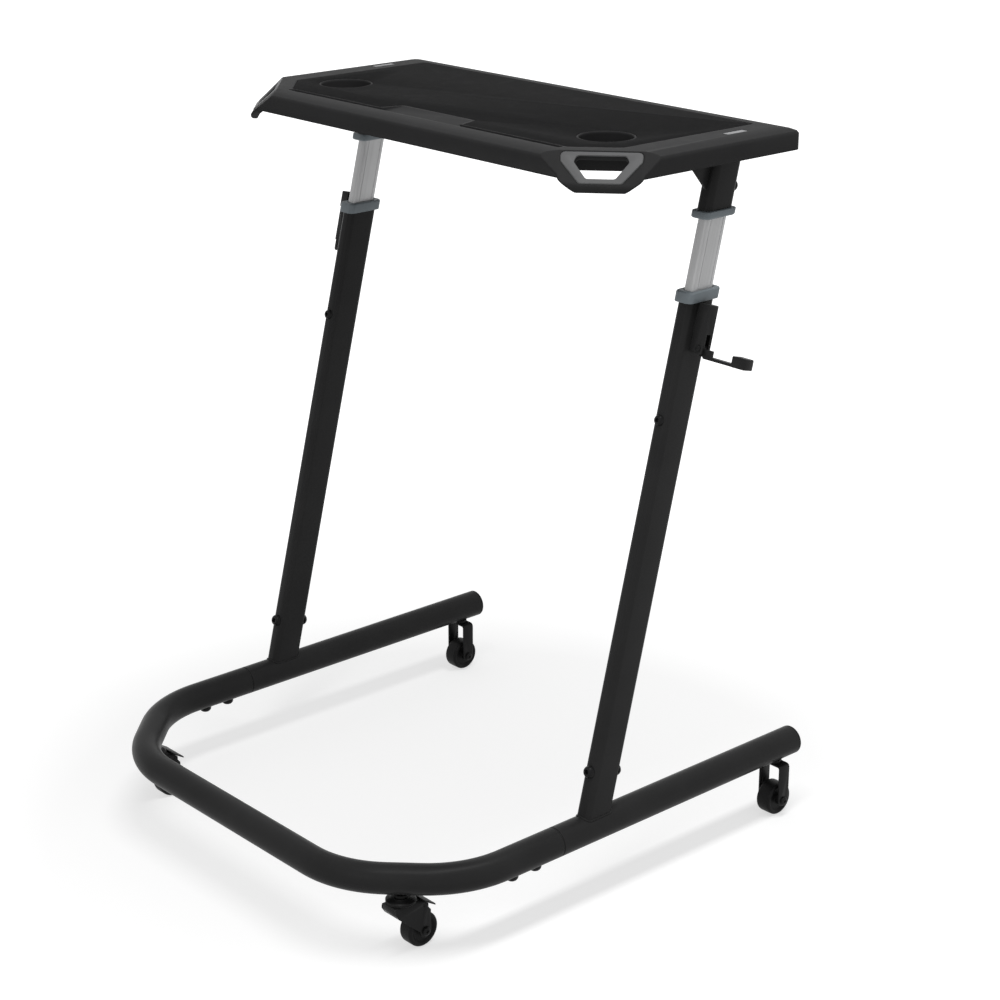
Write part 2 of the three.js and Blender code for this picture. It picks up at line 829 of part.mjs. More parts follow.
// A plate bent to an upside-down U over the wheel, as wide as a length along Y
function forkBend(inside, top, bottom, from, to) {
  const inner = inside / 2;
  const outer = inner + forkPlate;
  const skin = roundedShape([
    [-outer, bottom], [outer, bottom], [outer, top, rearForkBend], [-outer, top, rearForkBend]], 2);
  const hollow = roundedShape([
    [-inner, bottom - overrun], [inner, bottom - overrun],
    [inner, top - forkPlate, rearForkBend - forkPlate],
    [-inner, top - forkPlate, rearForkBend - forkPlate]], 2);
  return cut(alongY(skin, from, to), alongY(hollow, from - overrun, to + overrun));
}

function rearFork() {
  const half = rearForkWidth / 2;
  const bottom = wheelRadius - half;
  const bend = forkBend(rearForkInside, rearForkTop, bottom, -half, half);
  const side = alongX(roundedShape([
    [-half, bottom, half], [half, bottom, half], [half, rearForkTop + overrun],
    [-half, rearForkTop + overrun]], 4), -rearForkInside, rearForkInside);
  const axleHole = rod("x", axleRadius + gap, -rearForkInside, rearForkInside, 10)
    .translate(0, 0, wheelRadius);
  const stem = turned("z", [
    [0, rearForkTop - forkPlate / 2],
    [stemCollarRadius, rearForkTop - forkPlate / 2],
    [stemCollarRadius, floorToTube - gap],
    [stemRadius, floorToTube - gap],
    [stemRadius, floorToTube + stemInTube],
    [0, floorToTube + stemInTube],
  ], 8);
  return join(cut(common(bend, side), axleHole), stem);
}

// The fixed part of a swivel caster: stem, race and kingpin, turned as one
function casterStem() {
  const race = frontForkTop + gap;
  const pinEnd = frontForkTop - forkPlate - gap;
  return turned("z", [
    [0, pinEnd - kingpinHeadHeight],
    [kingpinHeadRadius, pinEnd - kingpinHeadHeight],
    [kingpinHeadRadius, pinEnd],
    [stemRadius, pinEnd],
    [stemRadius, race],
    [raceRadius, race],
    [raceRadius, race + raceThickness],
    [raceRadius - raceThickness / 2, race + raceThickness + raceThickness / 2],
    [stemCollarRadius + raceThickness, race + 2 * raceThickness],
    [stemCollarRadius, race + 2 * raceThickness],
    [stemCollarRadius, floorToTube - gap],
    [stemRadius, floorToTube - gap],
    [stemRadius, floorToTube + stemInTube],
    [0, floorToTube + stemInTube],
  ], 12);
}

// The side outline of the swept fork, as shares of the trail and of its height above the axle
const forkSideShares = [
  [-0.7, 1], [-0.7, 0.82], [-0.53, 0.67], [0.73, 0], [1.31, 0], [1.31, 0.59], [1.17, 0.69], [1.17, 0.8],
  [0.65, 1]];
const forkEyeRadius = 9.5;
const frontForkRise = frontForkTop - wheelRadius;
const frontForkPoint = ([back, up]) =>
  new THREE.Vector2(trail * back, wheelRadius + frontForkRise * up);

function pedalPivot(radius, half) {
  return rod("x", radius, -half, half, 10).translate(0, pedalHingeBack, frontForkTop - pedalHingeDrop);
}

function frontFork() {
  const side = new THREE.Shape(forkSideShares.map(frontForkPoint));
  const outline = alongX(side, -frontForkInside, frontForkInside);
  const eye = rod("x", forkEyeRadius, -frontForkInside, frontForkInside, 12).translate(0, trail, wheelRadius);
  const bend = forkBend(frontForkInside, frontForkTop, 0, -2 * trail, 2 * trail);
  const axleHole = rod("x", axleRadius + gap, -frontForkInside, frontForkInside, 10)
    .translate(0, trail, wheelRadius);
  const kingpinHole = rod("z", stemRadius + gap, frontForkTop - overrun, frontForkTop + overrun, 10);
  return cut(common(bend, join(outline, eye)), axleHole, kingpinHole,
    pedalPivot(pedalPivotRadius + gap, frontForkInside));
}

// The brake pedal: a plate that slopes down behind the race, and a tongue that presses on the wheel
const pedalPlateShares = [[0.75, 1.04], [1.37, 0.815]];
const pedalTongueShares = [[0.87, 0.955], [1.1, 0.88], [1.17, 0.512], [1.04, 0.512], [0.78, 0.7]];

function brakePedal() {
  const [front, back] = pedalPlateShares.map(frontForkPoint);
  const lift = new THREE.Vector2(0, pedalThickness);
  const plate = alongX(new THREE.Shape([
    front.clone().sub(lift), back.clone().sub(lift), back, front]), -pedalWidth / 2, pedalWidth / 2);
  const reach = frontForkInside / 2 - slack;
  const tongue = alongX(new THREE.Shape(pedalTongueShares.map(frontForkPoint)), -reach, reach);
  return join(plate, tongue, pedalPivot(pedalPivotRadius, frontForkInside / 2 + forkPlate - gap));
}

// Desktop: a moulded tray. Its frame lies in the plane of the rim, at the middle of the desk.

const frontEdge = -halfDepth;
const matTop = 0;
const recessFloor = -matThickness - gap;
const handleMiddle = new THREE.Vector3(halfWidth - handleCutX / 2, frontEdge + handleCutY / 2, 0);
const handleAngle = Math.atan2(handleCutY, handleCutX);

function onHandle(shape) {
  return shape.rotateZ(handleAngle).translate(handleMiddle.x, handleMiddle.y, 0);
}

// Places a shape drawn on the slanted face of a handle: X along, Y up the face, Z out of it
function onFace(shape) {
  return onHandle(shape.rotateX(faceSlope).translate(0, faceTopInset, 0));
}

// A symmetrical outline on the face, from its half widths at a few places down the face
function faceOutline(down, half, radius, grow) {
  const last = down.length - 1;
  const right = down.map((t, i) => {
    const end = i === 0 ? grow : i === last ? -grow : 0;
    return [half[i] + grow, -t + end, radius];
  });
  return roundedPoints([...right.map(([x, y, r]) => [-x, y, r]), ...right.reverse()], 3);
}

function matOutline(grow) {
  const side = halfWidth - matSideMargin + grow;
  const front = frontEdge + matFrontMargin - grow;
  const rear = halfDepth - matRearMargin + grow;
  const notchEnd = frontEdge + matFrontMargin + notchDepth - grow;
  const right = [
    [notchHalfBack - grow, notchEnd, matRound / 2],
    [notchHalfFront - grow, front],
    [side - matFrontCorner, front, matRound],
    [side, front + matCornerRise, matRound],
    [side, rear, matRound],
  ];
  return roundedPoints([...right, ...right.map(([x, y, r]) => [-x, y, r]).reverse()], 3);
}

function cupPlace(shape) {
  return shape.translate(halfWidth - cupSideInset, frontEdge + cupFrontInset, 0);
}

// The outer block, its rim rounded over in a quarter of an ellipse
function deskBlock() {
  const ringOf = (inset, z) => {
    const x = halfWidth - inset;
    const y = halfDepth - inset;
    const corners = [[-x, -y], [x, -y], [x, y, rearCorner], [-x, y, rearCorner]];
    return ringAt(roundedPoints(corners, 3), z);
  };
  const steps = 4;
  const rings = [ringOf(0, -deskHeight)];
  for (let i = 0; i <= steps; i++) {
    const turn = (Math.PI / 2) * (i / steps);
    rings.push(ringOf(rimRoundWide * (1 - Math.cos(turn)), rimRoundTall * (Math.sin(turn) - 1)));
  }
  return lofted(rings);
}

// A face line down the slope, moved inwards by a depth square to the face
function facePoint(down, depth) {
  return [
    faceTopInset - down * slopeCos + depth * slopeSin,
    -down * slopeSin - depth * slopeCos,
  ];
}

// The place on the back of the handle's plate at a height
function backAt(z) {
  return [faceTopInset + z / Math.tan(faceSlope) + handleThickness / slopeSin, z];
}

const pocketCeiling = -panelWall + recessFloor;
const [lipY, lipZ] = facePoint(faceLength, 0);
const lipBack = lipY + handleThickness;
const lipBackZ = (lipBack - faceTopInset - handleThickness / slopeSin) * Math.tan(faceSlope);

// The hanging handle: a slanted plate that turns down into a rounded lip
function handleLobe() {
  const section = roundedShape([
    [faceTopInset, 0],
    [pocketInset, 0],
    [pocketInset, pocketCeiling],
    backAt(pocketCeiling),
    [lipBack, lipBackZ, lobeRound],
    [lipBack, -lobeBottom, handleThickness / 2],
    [lipY, -lobeBottom, handleThickness / 2],
    [lipY, lipZ, 2 * lobeRound],
  ], 3);
  const front = roundedShape([
    [-lobeHalfTop, 0],
    [-lobeHalfTop, -lobeTaperStart, 2 * lobeRound],
    [-lobeHalfBottom, -lobeBottom, 2 * lobeRound],
    [lobeHalfBottom, -lobeBottom, 2 * lobeRound],
    [lobeHalfTop, -lobeTaperStart, 2 * lobeRound],
    [lobeHalfTop, 0],
  ], 3);
  const plate = alongX(section, -lobeHalfTop, lobeHalfTop);
  return common(plate, alongY(front, -lobeBottom, lobeBottom + pocketInset));
}

function fingerPocket() {
  const low = -lobeBottom - overrun;
  return alongX(roundedShape([
    [pocketInset, low],
    [pocketInset, pocketCeiling, lobeRound],
    backAt(pocketCeiling),
    [lipBack, lipBackZ],
    [lipBack, low],
  ], 2), -pocketHalf, pocketHalf);
}

function faceHole() {
  const shape = new THREE.Shape(faceOutline(holeDown, holeHalf, holeRound, 0));
  return alongZ(shape, -handleThickness - overrun / 2, overrun);
}

// The hollow under the desktop, with cells between low ribs. It stays clear of the slot, the bracket pads
// and the handles.
function ribCells() {
  const reachX = halfWidth - skirtWall;
  const reachY = halfDepth - skirtWall;
  const stepX = (2 * reachX + ribWall) / ribColumns;
  const stepY = (2 * reachY + ribWall) / ribRows;
  const cells = [box(-reachX, reachX, -reachY, reachY, -deskHeight - overrun, -ribDrop)];
  for (let i = 0; i < ribColumns; i++) {
    for (let k = 0; k < ribRows; k++) {
      const x = -reachX + i * stepX;
      const y = -reachY + k * stepY;
      cells.push(box(x, x + stepX - ribWall, y, y + stepY - ribWall, -deskHeight - overrun, pocketCeiling));
    }
  }
  const slotY = frontEdge + slotCentre;
  const slotHalf = slotWidth / 2 + slotWall;
  const slot = box(-slotHalfLength - slotWall, slotHalfLength + slotWall, slotY - slotHalf, slotY + slotHalf,
    -slotDepth - slotWall, 0);
  const pad = padOutline(ribWall, -2 * deskHeight, 0);
  const handle = onHandle(box(-pocketHalf - skirtWall, pocketHalf + skirtWall, -lobeBottom,
    pocketInset + ribWall, -2 * deskHeight, 0));
  const cornerFace = onFace(box(-deskDepth, deskDepth, -deskDepth, deskDepth, -skirtWall, deskDepth));
  return cut(join(...cells), slot, ...bothSides(pad, handle, cornerFace));
}

// The space of a bracket plate, grown by a margin, between two heights
function padOutline(grow, from, to) {
  const half = plateWidth / 2 + grow;
  return box(legX - half, legX + half, bracketSetback - plateFront - grow,
    bracketSetback + plateBack + grow, from, to);
}

function tabletSlot() {
  const half = slotWidth / 2;
  const y = frontEdge + slotCentre;
  return alongZ(roundedShape([
    [-slotHalfLength, y - half, half / 2], [slotHalfLength, y - half, half / 2],
    [slotHalfLength, y + half, half / 2], [-slotHalfLength, y + half, half / 2]], 2), -slotDepth, overrun);
}

// The thumb ramp that slopes from the notch in the mat down to the tablet slot
function thumbRamp() {
  const start = frontEdge + slotCentre;
  const end = frontEdge + matFrontMargin + notchDepth - ribWall;
  const wedge = alongX(new THREE.Shape([
    new THREE.Vector2(start, -rampDrop),
    new THREE.Vector2(end, 0),
    new THREE.Vector2(end, overrun),
    new THREE.Vector2(start, overrun),
  ]), -halfWidth, halfWidth);
  const inset = ribWall + gap;
  const plan = roundedShape([
    [-notchHalfFront + inset, start], [notchHalfFront - inset, start],
    [notchHalfBack - inset, end, matRound / 2], [-notchHalfBack + inset, end, matRound / 2]], 2);
  return common(wedge, alongZ(plan, -deskHeight, 2 * overrun));
}

// The hole for a cup liner. It is square, with a seat for the liner's flange under the mat.
function linerHole() {
  const half = cupRadius + linerRoom;
  const seat = half + linerFlangeReach + gap;
  const seatFloor = recessFloor - linerFlange - gap;
  const hole = box(-half, half, -half, half, -deskHeight - overrun, overrun);
  return cupPlace(join(hole, box(-seat, seat, -seat, seat, seatFloor, overrun)));
}

function desktop() {
  const aboveFace = onFace(box(-deskDepth, deskDepth, -deskDepth, deskDepth, 0, deskDepth));
  const block = cut(deskBlock(), ...bothSides(aboveFace));
  const lobe = onHandle(handleLobe());
  const bezelSeat = new THREE.Shape(faceOutline(bezelDown, bezelHalf, bezelRound, gap));
  const bezelSpace = onFace(alongZ(bezelSeat, -bezelRecess - gap, overrun));
  const matRecess = alongZ(new THREE.Shape(matOutline(gap)), recessFloor, overrun);
  const platePocket = padOutline(gap, -deskHeight - overrun, -padHeight);
  const cuts = bothSides(onHandle(fingerPocket()), onFace(faceHole()), bezelSpace, platePocket, linerHole());
  return cut(join(block, ...bothSides(lobe)), ribCells(), ...cuts, matRecess, tabletSlot(), thumbRamp());
}

function deskMat() {
  const slab = alongZ(new THREE.Shape(matOutline(0)), matTop - matThickness, matTop);
  const hole = cupPlace(rod("z", cupRadius, -deskHeight, overrun, cupSides));
  return cut(slab, ...bothSides(hole));
}

// A round cup with a square flange that lies in the desktop, hidden by the mat
function cupLiner() {
  const outer = cupRadius - gap;
  const inner = outer - cupWall;
  const floor = -cupDepth;
  const cup = turned("z", [
    [0, floor - cupWall],
    [outer, floor - cupWall],
    [outer, -cupWall / 2],
    [outer - cupWall / 2, 0],
    [inner, -cupWall / 2],
    [inner, floor + cupWall / 2],
    [inner - cupWall / 2, floor],
    [0, floor],
  ], cupSides);
  const half = cupRadius + linerRoom + linerFlangeReach;
  const flange = box(-half, half, -half, half, recessFloor - linerFlange, recessFloor);
  const bore = rod("z", outer - cupWall / 2, -deskHeight, overrun, cupSides);
  return cupPlace(join(cup, cut(flange, bore)));
}

function handleBezel() {
  const outline = (grow, z) => ringAt(faceOutline(bezelDown, bezelHalf, bezelRound, grow), z);
  const bottom = -bezelRecess;
  const top = bottom + bezelThickness;
  const plate = lofted([outline(0, bottom), outline(0, top - bezelBevel), outline(-bezelBevel, top)]);
  const opening = new THREE.Shape(faceOutline(holeDown, holeHalf, holeRound, 0));
  return onFace(cut(plate, alongZ(opening, -overrun, overrun)));
}

// Assembly

function footGroup(name) {
  const cap = piece("foot_cap_" + name, "plastic", footCap());
  cap.position.y = footEnd;
  const bolts = railBoltPlaces.map((y, i) => {
    const bolt = piece("rail_bolt_" + ["front", "rear"][i] + "_" + name, "hardware", railBolt());
    bolt.position.y = y;
    return bolt;
  });
  const foot = group(piece("foot_tube_" + name, "frame", footTube()), cap, ...bolts);
  foot.position.set(legX, 0, tubeHeight);
  return foot;
}

function lockGroup(name, closed) {
  const lever = piece("lock_lever_" + name, "plastic", lockLever());
  lever.position.set(pivotX, 0, -pivotDrop);
  const shoe = piece("clamp_shoe_" + name, "hardware", clampShoe());
  if (closed) {
    lever.rotation.y = -leverTurn;
    shoe.position.x = -camThrow;
  }
  return group(
    piece("lock_housing_" + name, "frame", lockHousing()),
    piece("lever_pin_" + name, "hardware", leverPin()),
    lever,
    shoe,
  );
}

function postGroup(name, closed) {
  const bracket = piece("socket_bracket_" + name, "frame", socketBracket());
  bracket.position.z = plateAlong;
  bracket.rotation.x = postLean;
  const top = group(
    piece("post_collar_" + name, "collar", postCollar()),
    piece("stop_screw_" + name, "hardware", stopScrew()),
    piece("inner_tube_" + name, "silver", innerTube()),
    piece("inner_glide_" + name, "plastic", innerGlide()),
    piece("socket_collar_" + name, "collar", socketCollar()),
    piece("socket_bolt_" + name, "hardware", socketBolt()),
    bracket,
    lockGroup(name, closed),
  );
  top.position.z = postLength;
  const bolt = piece("post_bolt_" + name, "hardware", postBolt());
  bolt.position.z = postBoltRise;
  const post = group(piece("post_tube_" + name, "frame", postTube()), bolt, top);
  post.position.set(legX, postFootY, tubeHeight);
  post.rotation.x = -postLean;
  return post;
}

function rearCaster(name) {
  const rolling = group(
    piece("rear_wheel_" + name, "wheel", wheel(rearForkInside / 2 - gap)),
    piece("rear_axle_" + name, "hardware", axle(rearForkInside)),
  );
  rolling.position.z = wheelRadius;
  const caster = group(piece("rear_fork_" + name, "hardware", rearFork()), rolling);
  caster.position.set(legX, rearCasterY, 0);
  return caster;
}

function frontCaster(name) {
  const rolling = group(
    piece("front_wheel_" + name, "wheel", wheel(frontForkInside / 2 - gap)),
    piece("front_axle_" + name, "hardware", axle(frontForkInside)),
  );
  rolling.position.set(0, trail, wheelRadius);
  const caster = group(
    piece("caster_stem_" + name, "hardware", casterStem()),
    piece("front_fork_" + name, "hardware", frontFork()),
    piece("brake_pedal_" + name, "plastic", brakePedal()),
    rolling,
  );
  caster.position.set(stemX, stemY, 0);
  return caster;
}

function deskSide(name) {
  return group(
    piece("cup_liner_" + name, "plastic", cupLiner()),
    piece("handle_bezel_" + name, "bezel", handleBezel()),
  );
}

// One side of the desk. The left side is the right one mirrored, with its lever folded up.
function sideGroup(name, way, closed) {
  const deskParts = deskSide(name);
  deskParts.position.set(0, deskY, deskTopZ);
  const casters = [rearCaster(name), frontCaster(name)];
  const side = group(footGroup(name), postGroup(name, closed), ...casters, deskParts);
  side.scale.x = way;
  return side;
}

const rail = piece("front_rail", "frame", frontRail());
rail.position.z = tubeHeight;

const top = group(piece("desktop", "plastic", desktop()), piece("desk_mat", "mat", deskMat()));
top.position.set(0, deskY, deskTopZ);

const model = group(rail, top, sideGroup("right", 1, false), sideGroup("left", -1, true));
model.updateMatrixWorld(true);
const bounds = new THREE.Box3().setFromObject(model, true);
const middle = bounds.getCenter(new THREE.Vector3());
model.position.set(-middle.x, -middle.y, -bounds.min.z);

export default group(model);
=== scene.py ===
# A height-adjustable desk on a rolling base, for use over a bicycle on a trainer.
# Metres. Pieces are modelled with the desk's middle plane at X = 0 and the front bar at Y = 0,
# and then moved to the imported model's own place.
import math

import bmesh
import bpy
from mathutils import Matrix, Vector

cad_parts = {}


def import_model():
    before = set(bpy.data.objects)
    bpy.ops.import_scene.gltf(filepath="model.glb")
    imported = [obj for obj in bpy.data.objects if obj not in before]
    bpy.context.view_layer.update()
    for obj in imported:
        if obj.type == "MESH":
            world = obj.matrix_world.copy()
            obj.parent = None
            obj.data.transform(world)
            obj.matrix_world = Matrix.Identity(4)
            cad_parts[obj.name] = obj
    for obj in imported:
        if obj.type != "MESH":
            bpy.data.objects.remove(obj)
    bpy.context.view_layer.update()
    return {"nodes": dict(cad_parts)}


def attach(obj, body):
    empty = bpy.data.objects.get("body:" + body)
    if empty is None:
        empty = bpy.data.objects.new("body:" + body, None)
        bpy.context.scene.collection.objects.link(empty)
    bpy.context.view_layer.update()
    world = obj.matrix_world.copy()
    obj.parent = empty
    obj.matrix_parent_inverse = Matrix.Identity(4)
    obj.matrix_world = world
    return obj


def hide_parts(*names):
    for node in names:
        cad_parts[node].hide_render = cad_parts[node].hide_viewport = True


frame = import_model()

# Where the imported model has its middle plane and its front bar
MIDDLE = -0.035275
FRONT = -0.372416
BASE = Matrix.Translation((MIDDLE, FRONT, 0))
MIRROR = Matrix.Scale(-1, 4, (1, 0, 0))

# Base tube
TUBE_RADIUS = 0.0215
TUBE_HEIGHT = 0.1095
LEG_X = 0.360
CORNER_CUT = 0.122
BEND_RADIUS = 0.150
RAIL_STRAIGHT = 0.0959
BEND_REACH = BEND_RADIUS * math.tan(math.pi / 8)
RAIL_LEG = CORNER_CUT + BEND_REACH + RAIL_STRAIGHT
SEAM = 0.0003
SEAM_LIP = 0.0011
FOOT_LENGTH = 0.4835
FOOT_END = RAIL_LEG + FOOT_LENGTH
SPIGOT_LENGTH = 0.092
RAIL_BOLTS = (RAIL_LEG - SPIGOT_LENGTH * 0.86, RAIL_LEG - SPIGOT_LENGTH * 0.4)

# Posts and what stands on them
LEAN = math.radians(14)
POST_SETBACK = 0.0695
POST_FOOT = RAIL_LEG + POST_SETBACK
POST_LENGTH = 0.7454
POST_HALF = (0.0125, 0.025)
POST_CORNER = 0.0095
INNER_HALF = (0.00925, 0.020)
INNER_CORNER = 0.0055
INNER_LOW = -0.363
GROOVE_OUT = 0.0115
COLLAR_HALF = (0.0165, 0.029)
COLLAR_LOW = 0.0013
COLLAR_TOP = 0.016
COLLAR_BEVEL_TOP = COLLAR_TOP + 0.0005
EXPOSED = 0.0976
SOCKET_COLLAR = COLLAR_TOP + EXPOSED
SOCKET_COLLAR_TOP = SOCKET_COLLAR + 0.010
SOCKET_BOTTOM = SOCKET_COLLAR_TOP + SEAM
SOCKET_LENGTH = 0.0794
PLATE_ALONG = SOCKET_BOTTOM + SOCKET_LENGTH
INNER_HIGH = PLATE_ALONG - 0.0135
PLATE_THICKNESS = 0.004
PLATE_HALF_WIDTH = 0.030
PLATE_FRONT = -0.080
PLATE_REAR = 0.064
SCREW_INSET = 0.009
GUSSET_REACH = 0.050
GUSSET_DEPTH = 0.041
GUSSET_THICKNESS = 0.004
POST_BOLT_HEIGHT = 0.082
STOP_DROP = 0.1657
SOCKET_BOLT_RISE = 0.033
PIVOT_DROP = 0.0608
PIVOT_OUT = 0.0275

# Desktop
PLATE_Z = TUBE_HEIGHT + (POST_LENGTH + PLATE_ALONG) * math.cos(LEAN)
BRACKET_Y = POST_FOOT + (POST_LENGTH + PLATE_ALONG) * math.sin(LEAN)
SEAT_DEPTH = 0.0167
DESK_TOP = PLATE_Z + PLATE_THICKNESS + SEAM + SEAT_DEPTH
BRACKET_SETBACK = 0.0806
DESK_Y = BRACKET_Y - BRACKET_SETBACK
HALF_WIDTH = 0.400
HALF_DEPTH = 0.1854
CUP_FROM_SIDE = 0.126
CUP_FROM_FRONT = 0.1293
CUP = (HALF_WIDTH - CUP_FROM_SIDE, CUP_FROM_FRONT - HALF_DEPTH)
CUP_RADIUS = 0.040
BADGE = (0.3665, 0.090)
BADGE_HALF = (0.005, 0.0185)
BADGE_GAP = 0.0002
BADGE_BED = -0.0005

# Casters
WHEEL_RADIUS = 0.025
REAR_CASTER_INSET = 0.0315
STEM_SHARE = 0.48
STEM = (LEG_X - CORNER_CUT * (1 - STEM_SHARE), CORNER_CUT * STEM_SHARE)
TRAIL = 0.030
NOSE_WIDTH = 0.026

# Places of the right side's pieces, and turns
FOOT = Matrix.Translation((LEG_X, 0, TUBE_HEIGHT))
POST = Matrix.Translation((LEG_X, POST_FOOT, TUBE_HEIGHT)) @ Matrix.Rotation(-LEAN, 4, "X")
POST_TOP = POST @ Matrix.Translation((0, 0, POST_LENGTH))
BRACKET = POST_TOP @ Matrix.Translation((0, 0, PLATE_ALONG)) @ Matrix.Rotation(LEAN, 4, "X")
DESK = Matrix.Translation((0, DESK_Y, DESK_TOP))
REAR_CASTER = Matrix.Translation((LEG_X, FOOT_END - REAR_CASTER_INSET, 0))
FRONT_CASTER = Matrix.Translation((*STEM, 0))
REAR_WHEEL = REAR_CASTER @ Matrix.Translation((0, 0, WHEEL_RADIUS))
FRONT_WHEEL = FRONT_CASTER @ Matrix.Translation((0, TRAIL, WHEEL_RADIUS))
TO_X = Matrix.Rotation(math.pi / 2, 4, "Y")
TO_Y = Matrix.Rotation(-math.pi / 2, 4, "X")
DOWN = Matrix.Rotation(math.pi, 4, "X")
# Shears a cut that is square to the leaning post until it is level with the floor
LEVEL = Matrix.Identity(4)
LEVEL[2][1] = math.tan(LEAN)

# Light: strengths, where 1 is white, metres from the middle of the floor, and watts
FLOOR_WHITE = 1.36
FLOOR_NEAR = 0.6
FLOOR_FAR = 1.4
FLOOR_NEAR_SHARE = 0.45
WORLD_SOFT = 0.38
KEY_POWER = 72
FILL_POWER = 12


# Working with one piece at a time

def only(piece):
    bpy.ops.object.select_all(action="DESELECT")
    piece.select_set(True)
    bpy.context.view_layer.objects.active = piece


def edit_all(piece):
    """Opens a piece for editing with all of it selected."""
    only(piece)
    bpy.ops.object.mode_set(mode="EDIT")
    bpy.ops.mesh.select_all(action="SELECT")


def end_edit():
    bpy.ops.object.mode_set(mode="OBJECT")


def copy_of(piece):
    """A copy with a mesh of its own."""
    twin = piece.copy()
    twin.data = piece.data.copy()
    bpy.context.scene.collection.objects.link(twin)
    return twin


def apply_modifier(piece, kind, **settings):
    only(piece)
    modifier = piece.modifiers.new(kind.lower(), kind)
    for key, value in settings.items():
        setattr(modifier, key, value)
    bpy.ops.object.modifier_apply(modifier=modifier.name)


def close_up(piece):
    """Merges doubles, fills the open ends and turns the faces outwards."""
    edit_all(piece)
    bpy.ops.mesh.remove_doubles(threshold=0.000005)
    bpy.ops.mesh.fill_holes(sides=0)
    bpy.ops.mesh.select_all(action="SELECT")
    bpy.ops.mesh.normals_make_consistent(inside=False)
    end_edit()
    return piece


def joined(name, *pieces):
    bpy.ops.object.select_all(action="DESELECT")
    for piece in pieces:
        piece.select_set(True)
    bpy.context.view_layer.objects.active = pieces[0]
    bpy.ops.object.join()
    pieces[0].name = name
    return pieces[0]


def round_edges(piece, width, angle=30):
    """Rounds the edges that turn by more than an angle in degrees."""
    apply_modifier(piece, "BEVEL", width=width, segments=2, limit_method="ANGLE",
                   angle_limit=math.radians(angle), use_clamp_overlap=True)


def cut_out(piece, cutter):
    apply_modifier(piece, "BOOLEAN", operation="DIFFERENCE", solver="EXACT", object=cutter)
    bpy.data.objects.remove(cutter)


def moved(piece, matrix):
    piece.data.transform(matrix)
    return piece


# Shapes

def arc(centre, height, radius, start, end, steps=5):
    """Rings round the turn of an edge, from one angle to another in degrees."""
    rings = []
    for i in range(steps + 1):
        turn = math.radians(start + (end - start) * i / steps)
        rings.append((centre + radius * math.cos(turn), height + radius * math.sin(turn)))
    return rings


def extrude_by(x, y, z):
    bpy.ops.mesh.extrude_region_move(TRANSFORM_OT_translate={"value": (x, y, z)})


def turned(name, profile, sides=64, hollow=False):
    """A turned piece about Z: a ring is extruded up from one radius and height to the next."""
    radius, height = profile[0]
    bpy.ops.object.select_all(action="DESELECT")
    bpy.ops.mesh.primitive_circle_add(vertices=sides, radius=radius, fill_type="NOTHING",
                                      location=(0, 0, height))
    piece = bpy.context.active_object
    piece.name = name
    bpy.ops.object.transform_apply(location=True, rotation=True, scale=True)
    edit_all(piece)
    for next_radius, next_height in profile[1:]:
        extrude_by(0, 0, next_height - height)
        share = next_radius / radius
        bpy.ops.transform.resize(value=(share, share, 1), center_override=(0, 0, next_height))
        radius, height = next_radius, next_height
    close_loop(hollow)
    return close_up(piece)


def close_loop(hollow):
    """Joins the last ring back to the first on a piece with a bore, and ends the editing."""
    if hollow:
        bpy.ops.mesh.select_all(action="DESELECT")
        bpy.ops.mesh.select_non_manifold(extend=False, use_wire=False, use_boundary=True,
                                         use_multi_face=False, use_non_contiguous=False, use_verts=False)
        bpy.ops.mesh.bridge_edge_loops()
    end_edit()


def flat_oval(name, rings, corner, sides=64, hollow=False):
    """A flat-sided oval piece along Z. A ring is (half thickness, half width, height), and the first ring's
    corners have the radius given."""
    thick, wide, height = rings[0]
    bpy.ops.object.select_all(action="DESELECT")
    bpy.ops.mesh.primitive_circle_add(vertices=sides, radius=corner, fill_type="NOTHING",
                                      location=(0, 0, height), rotation=(0, 0, math.pi / sides))
    piece = bpy.context.active_object
    piece.name = name
    bpy.ops.object.transform_apply(location=True, rotation=True, scale=True)
    bpy.ops.object.mode_set(mode="EDIT")
    for axis, way in ((0, 1), (0, -1), (1, 1), (1, -1)):
        mesh = bmesh.from_edit_mesh(piece.data)
        for vert in mesh.verts:
            vert.select_set(vert.co[axis] * way > 0)
        mesh.select_flush_mode()
        bmesh.update_edit_mesh(piece.data)
        step = [0, 0, 0]
        step[axis] = way * ((thick, wide)[axis] - corner)
        bpy.ops.transform.translate(value=step)
    bpy.ops.mesh.select_all(action="SELECT")
    for next_thick, next_wide, next_height in rings[1:]:
        extrude_by(0, 0, next_height - height)
        bpy.ops.transform.resize(value=(next_thick / thick, next_wide / wide, 1),
                                 center_override=(0, 0, next_height))
        thick, wide, height = next_thick, next_wide, next_height
    close_loop(hollow)
    return close_up(piece)


def block(name, low, high, width=0.0):
    """A block between two corners, with rounded edges where a width is given."""
    bpy.ops.object.select_all(action="DESELECT")
    bpy.ops.mesh.primitive_cube_add(size=1)
    piece = bpy.context.active_object
    piece.name = name
    low, high = Vector(low), Vector(high)
    moved(piece, Matrix.Translation((low + high) / 2) @ Matrix.Diagonal((*(high - low), 1)))
    if width:
        round_edges(piece, width)
    return piece


def plate(name, outline, thickness, edge=0.0004):
    """A sheet cut to an outline in X and Y, extruded up from Z = 0, with rounded edges."""
    bpy.ops.object.select_all(action="DESELECT")
    bpy.ops.mesh.primitive_circle_add(vertices=len(outline), radius=1, fill_type="NGON")
    piece = bpy.context.active_object
    piece.name = name
    for vert, (x, y) in zip(piece.data.vertices, outline):
        vert.co = (x, y, 0)
    edit_all(piece)
    extrude_by(0, 0, thickness)
    end_edit()
    close_up(piece)
    round_edges(piece, edge, 50)
    return piece


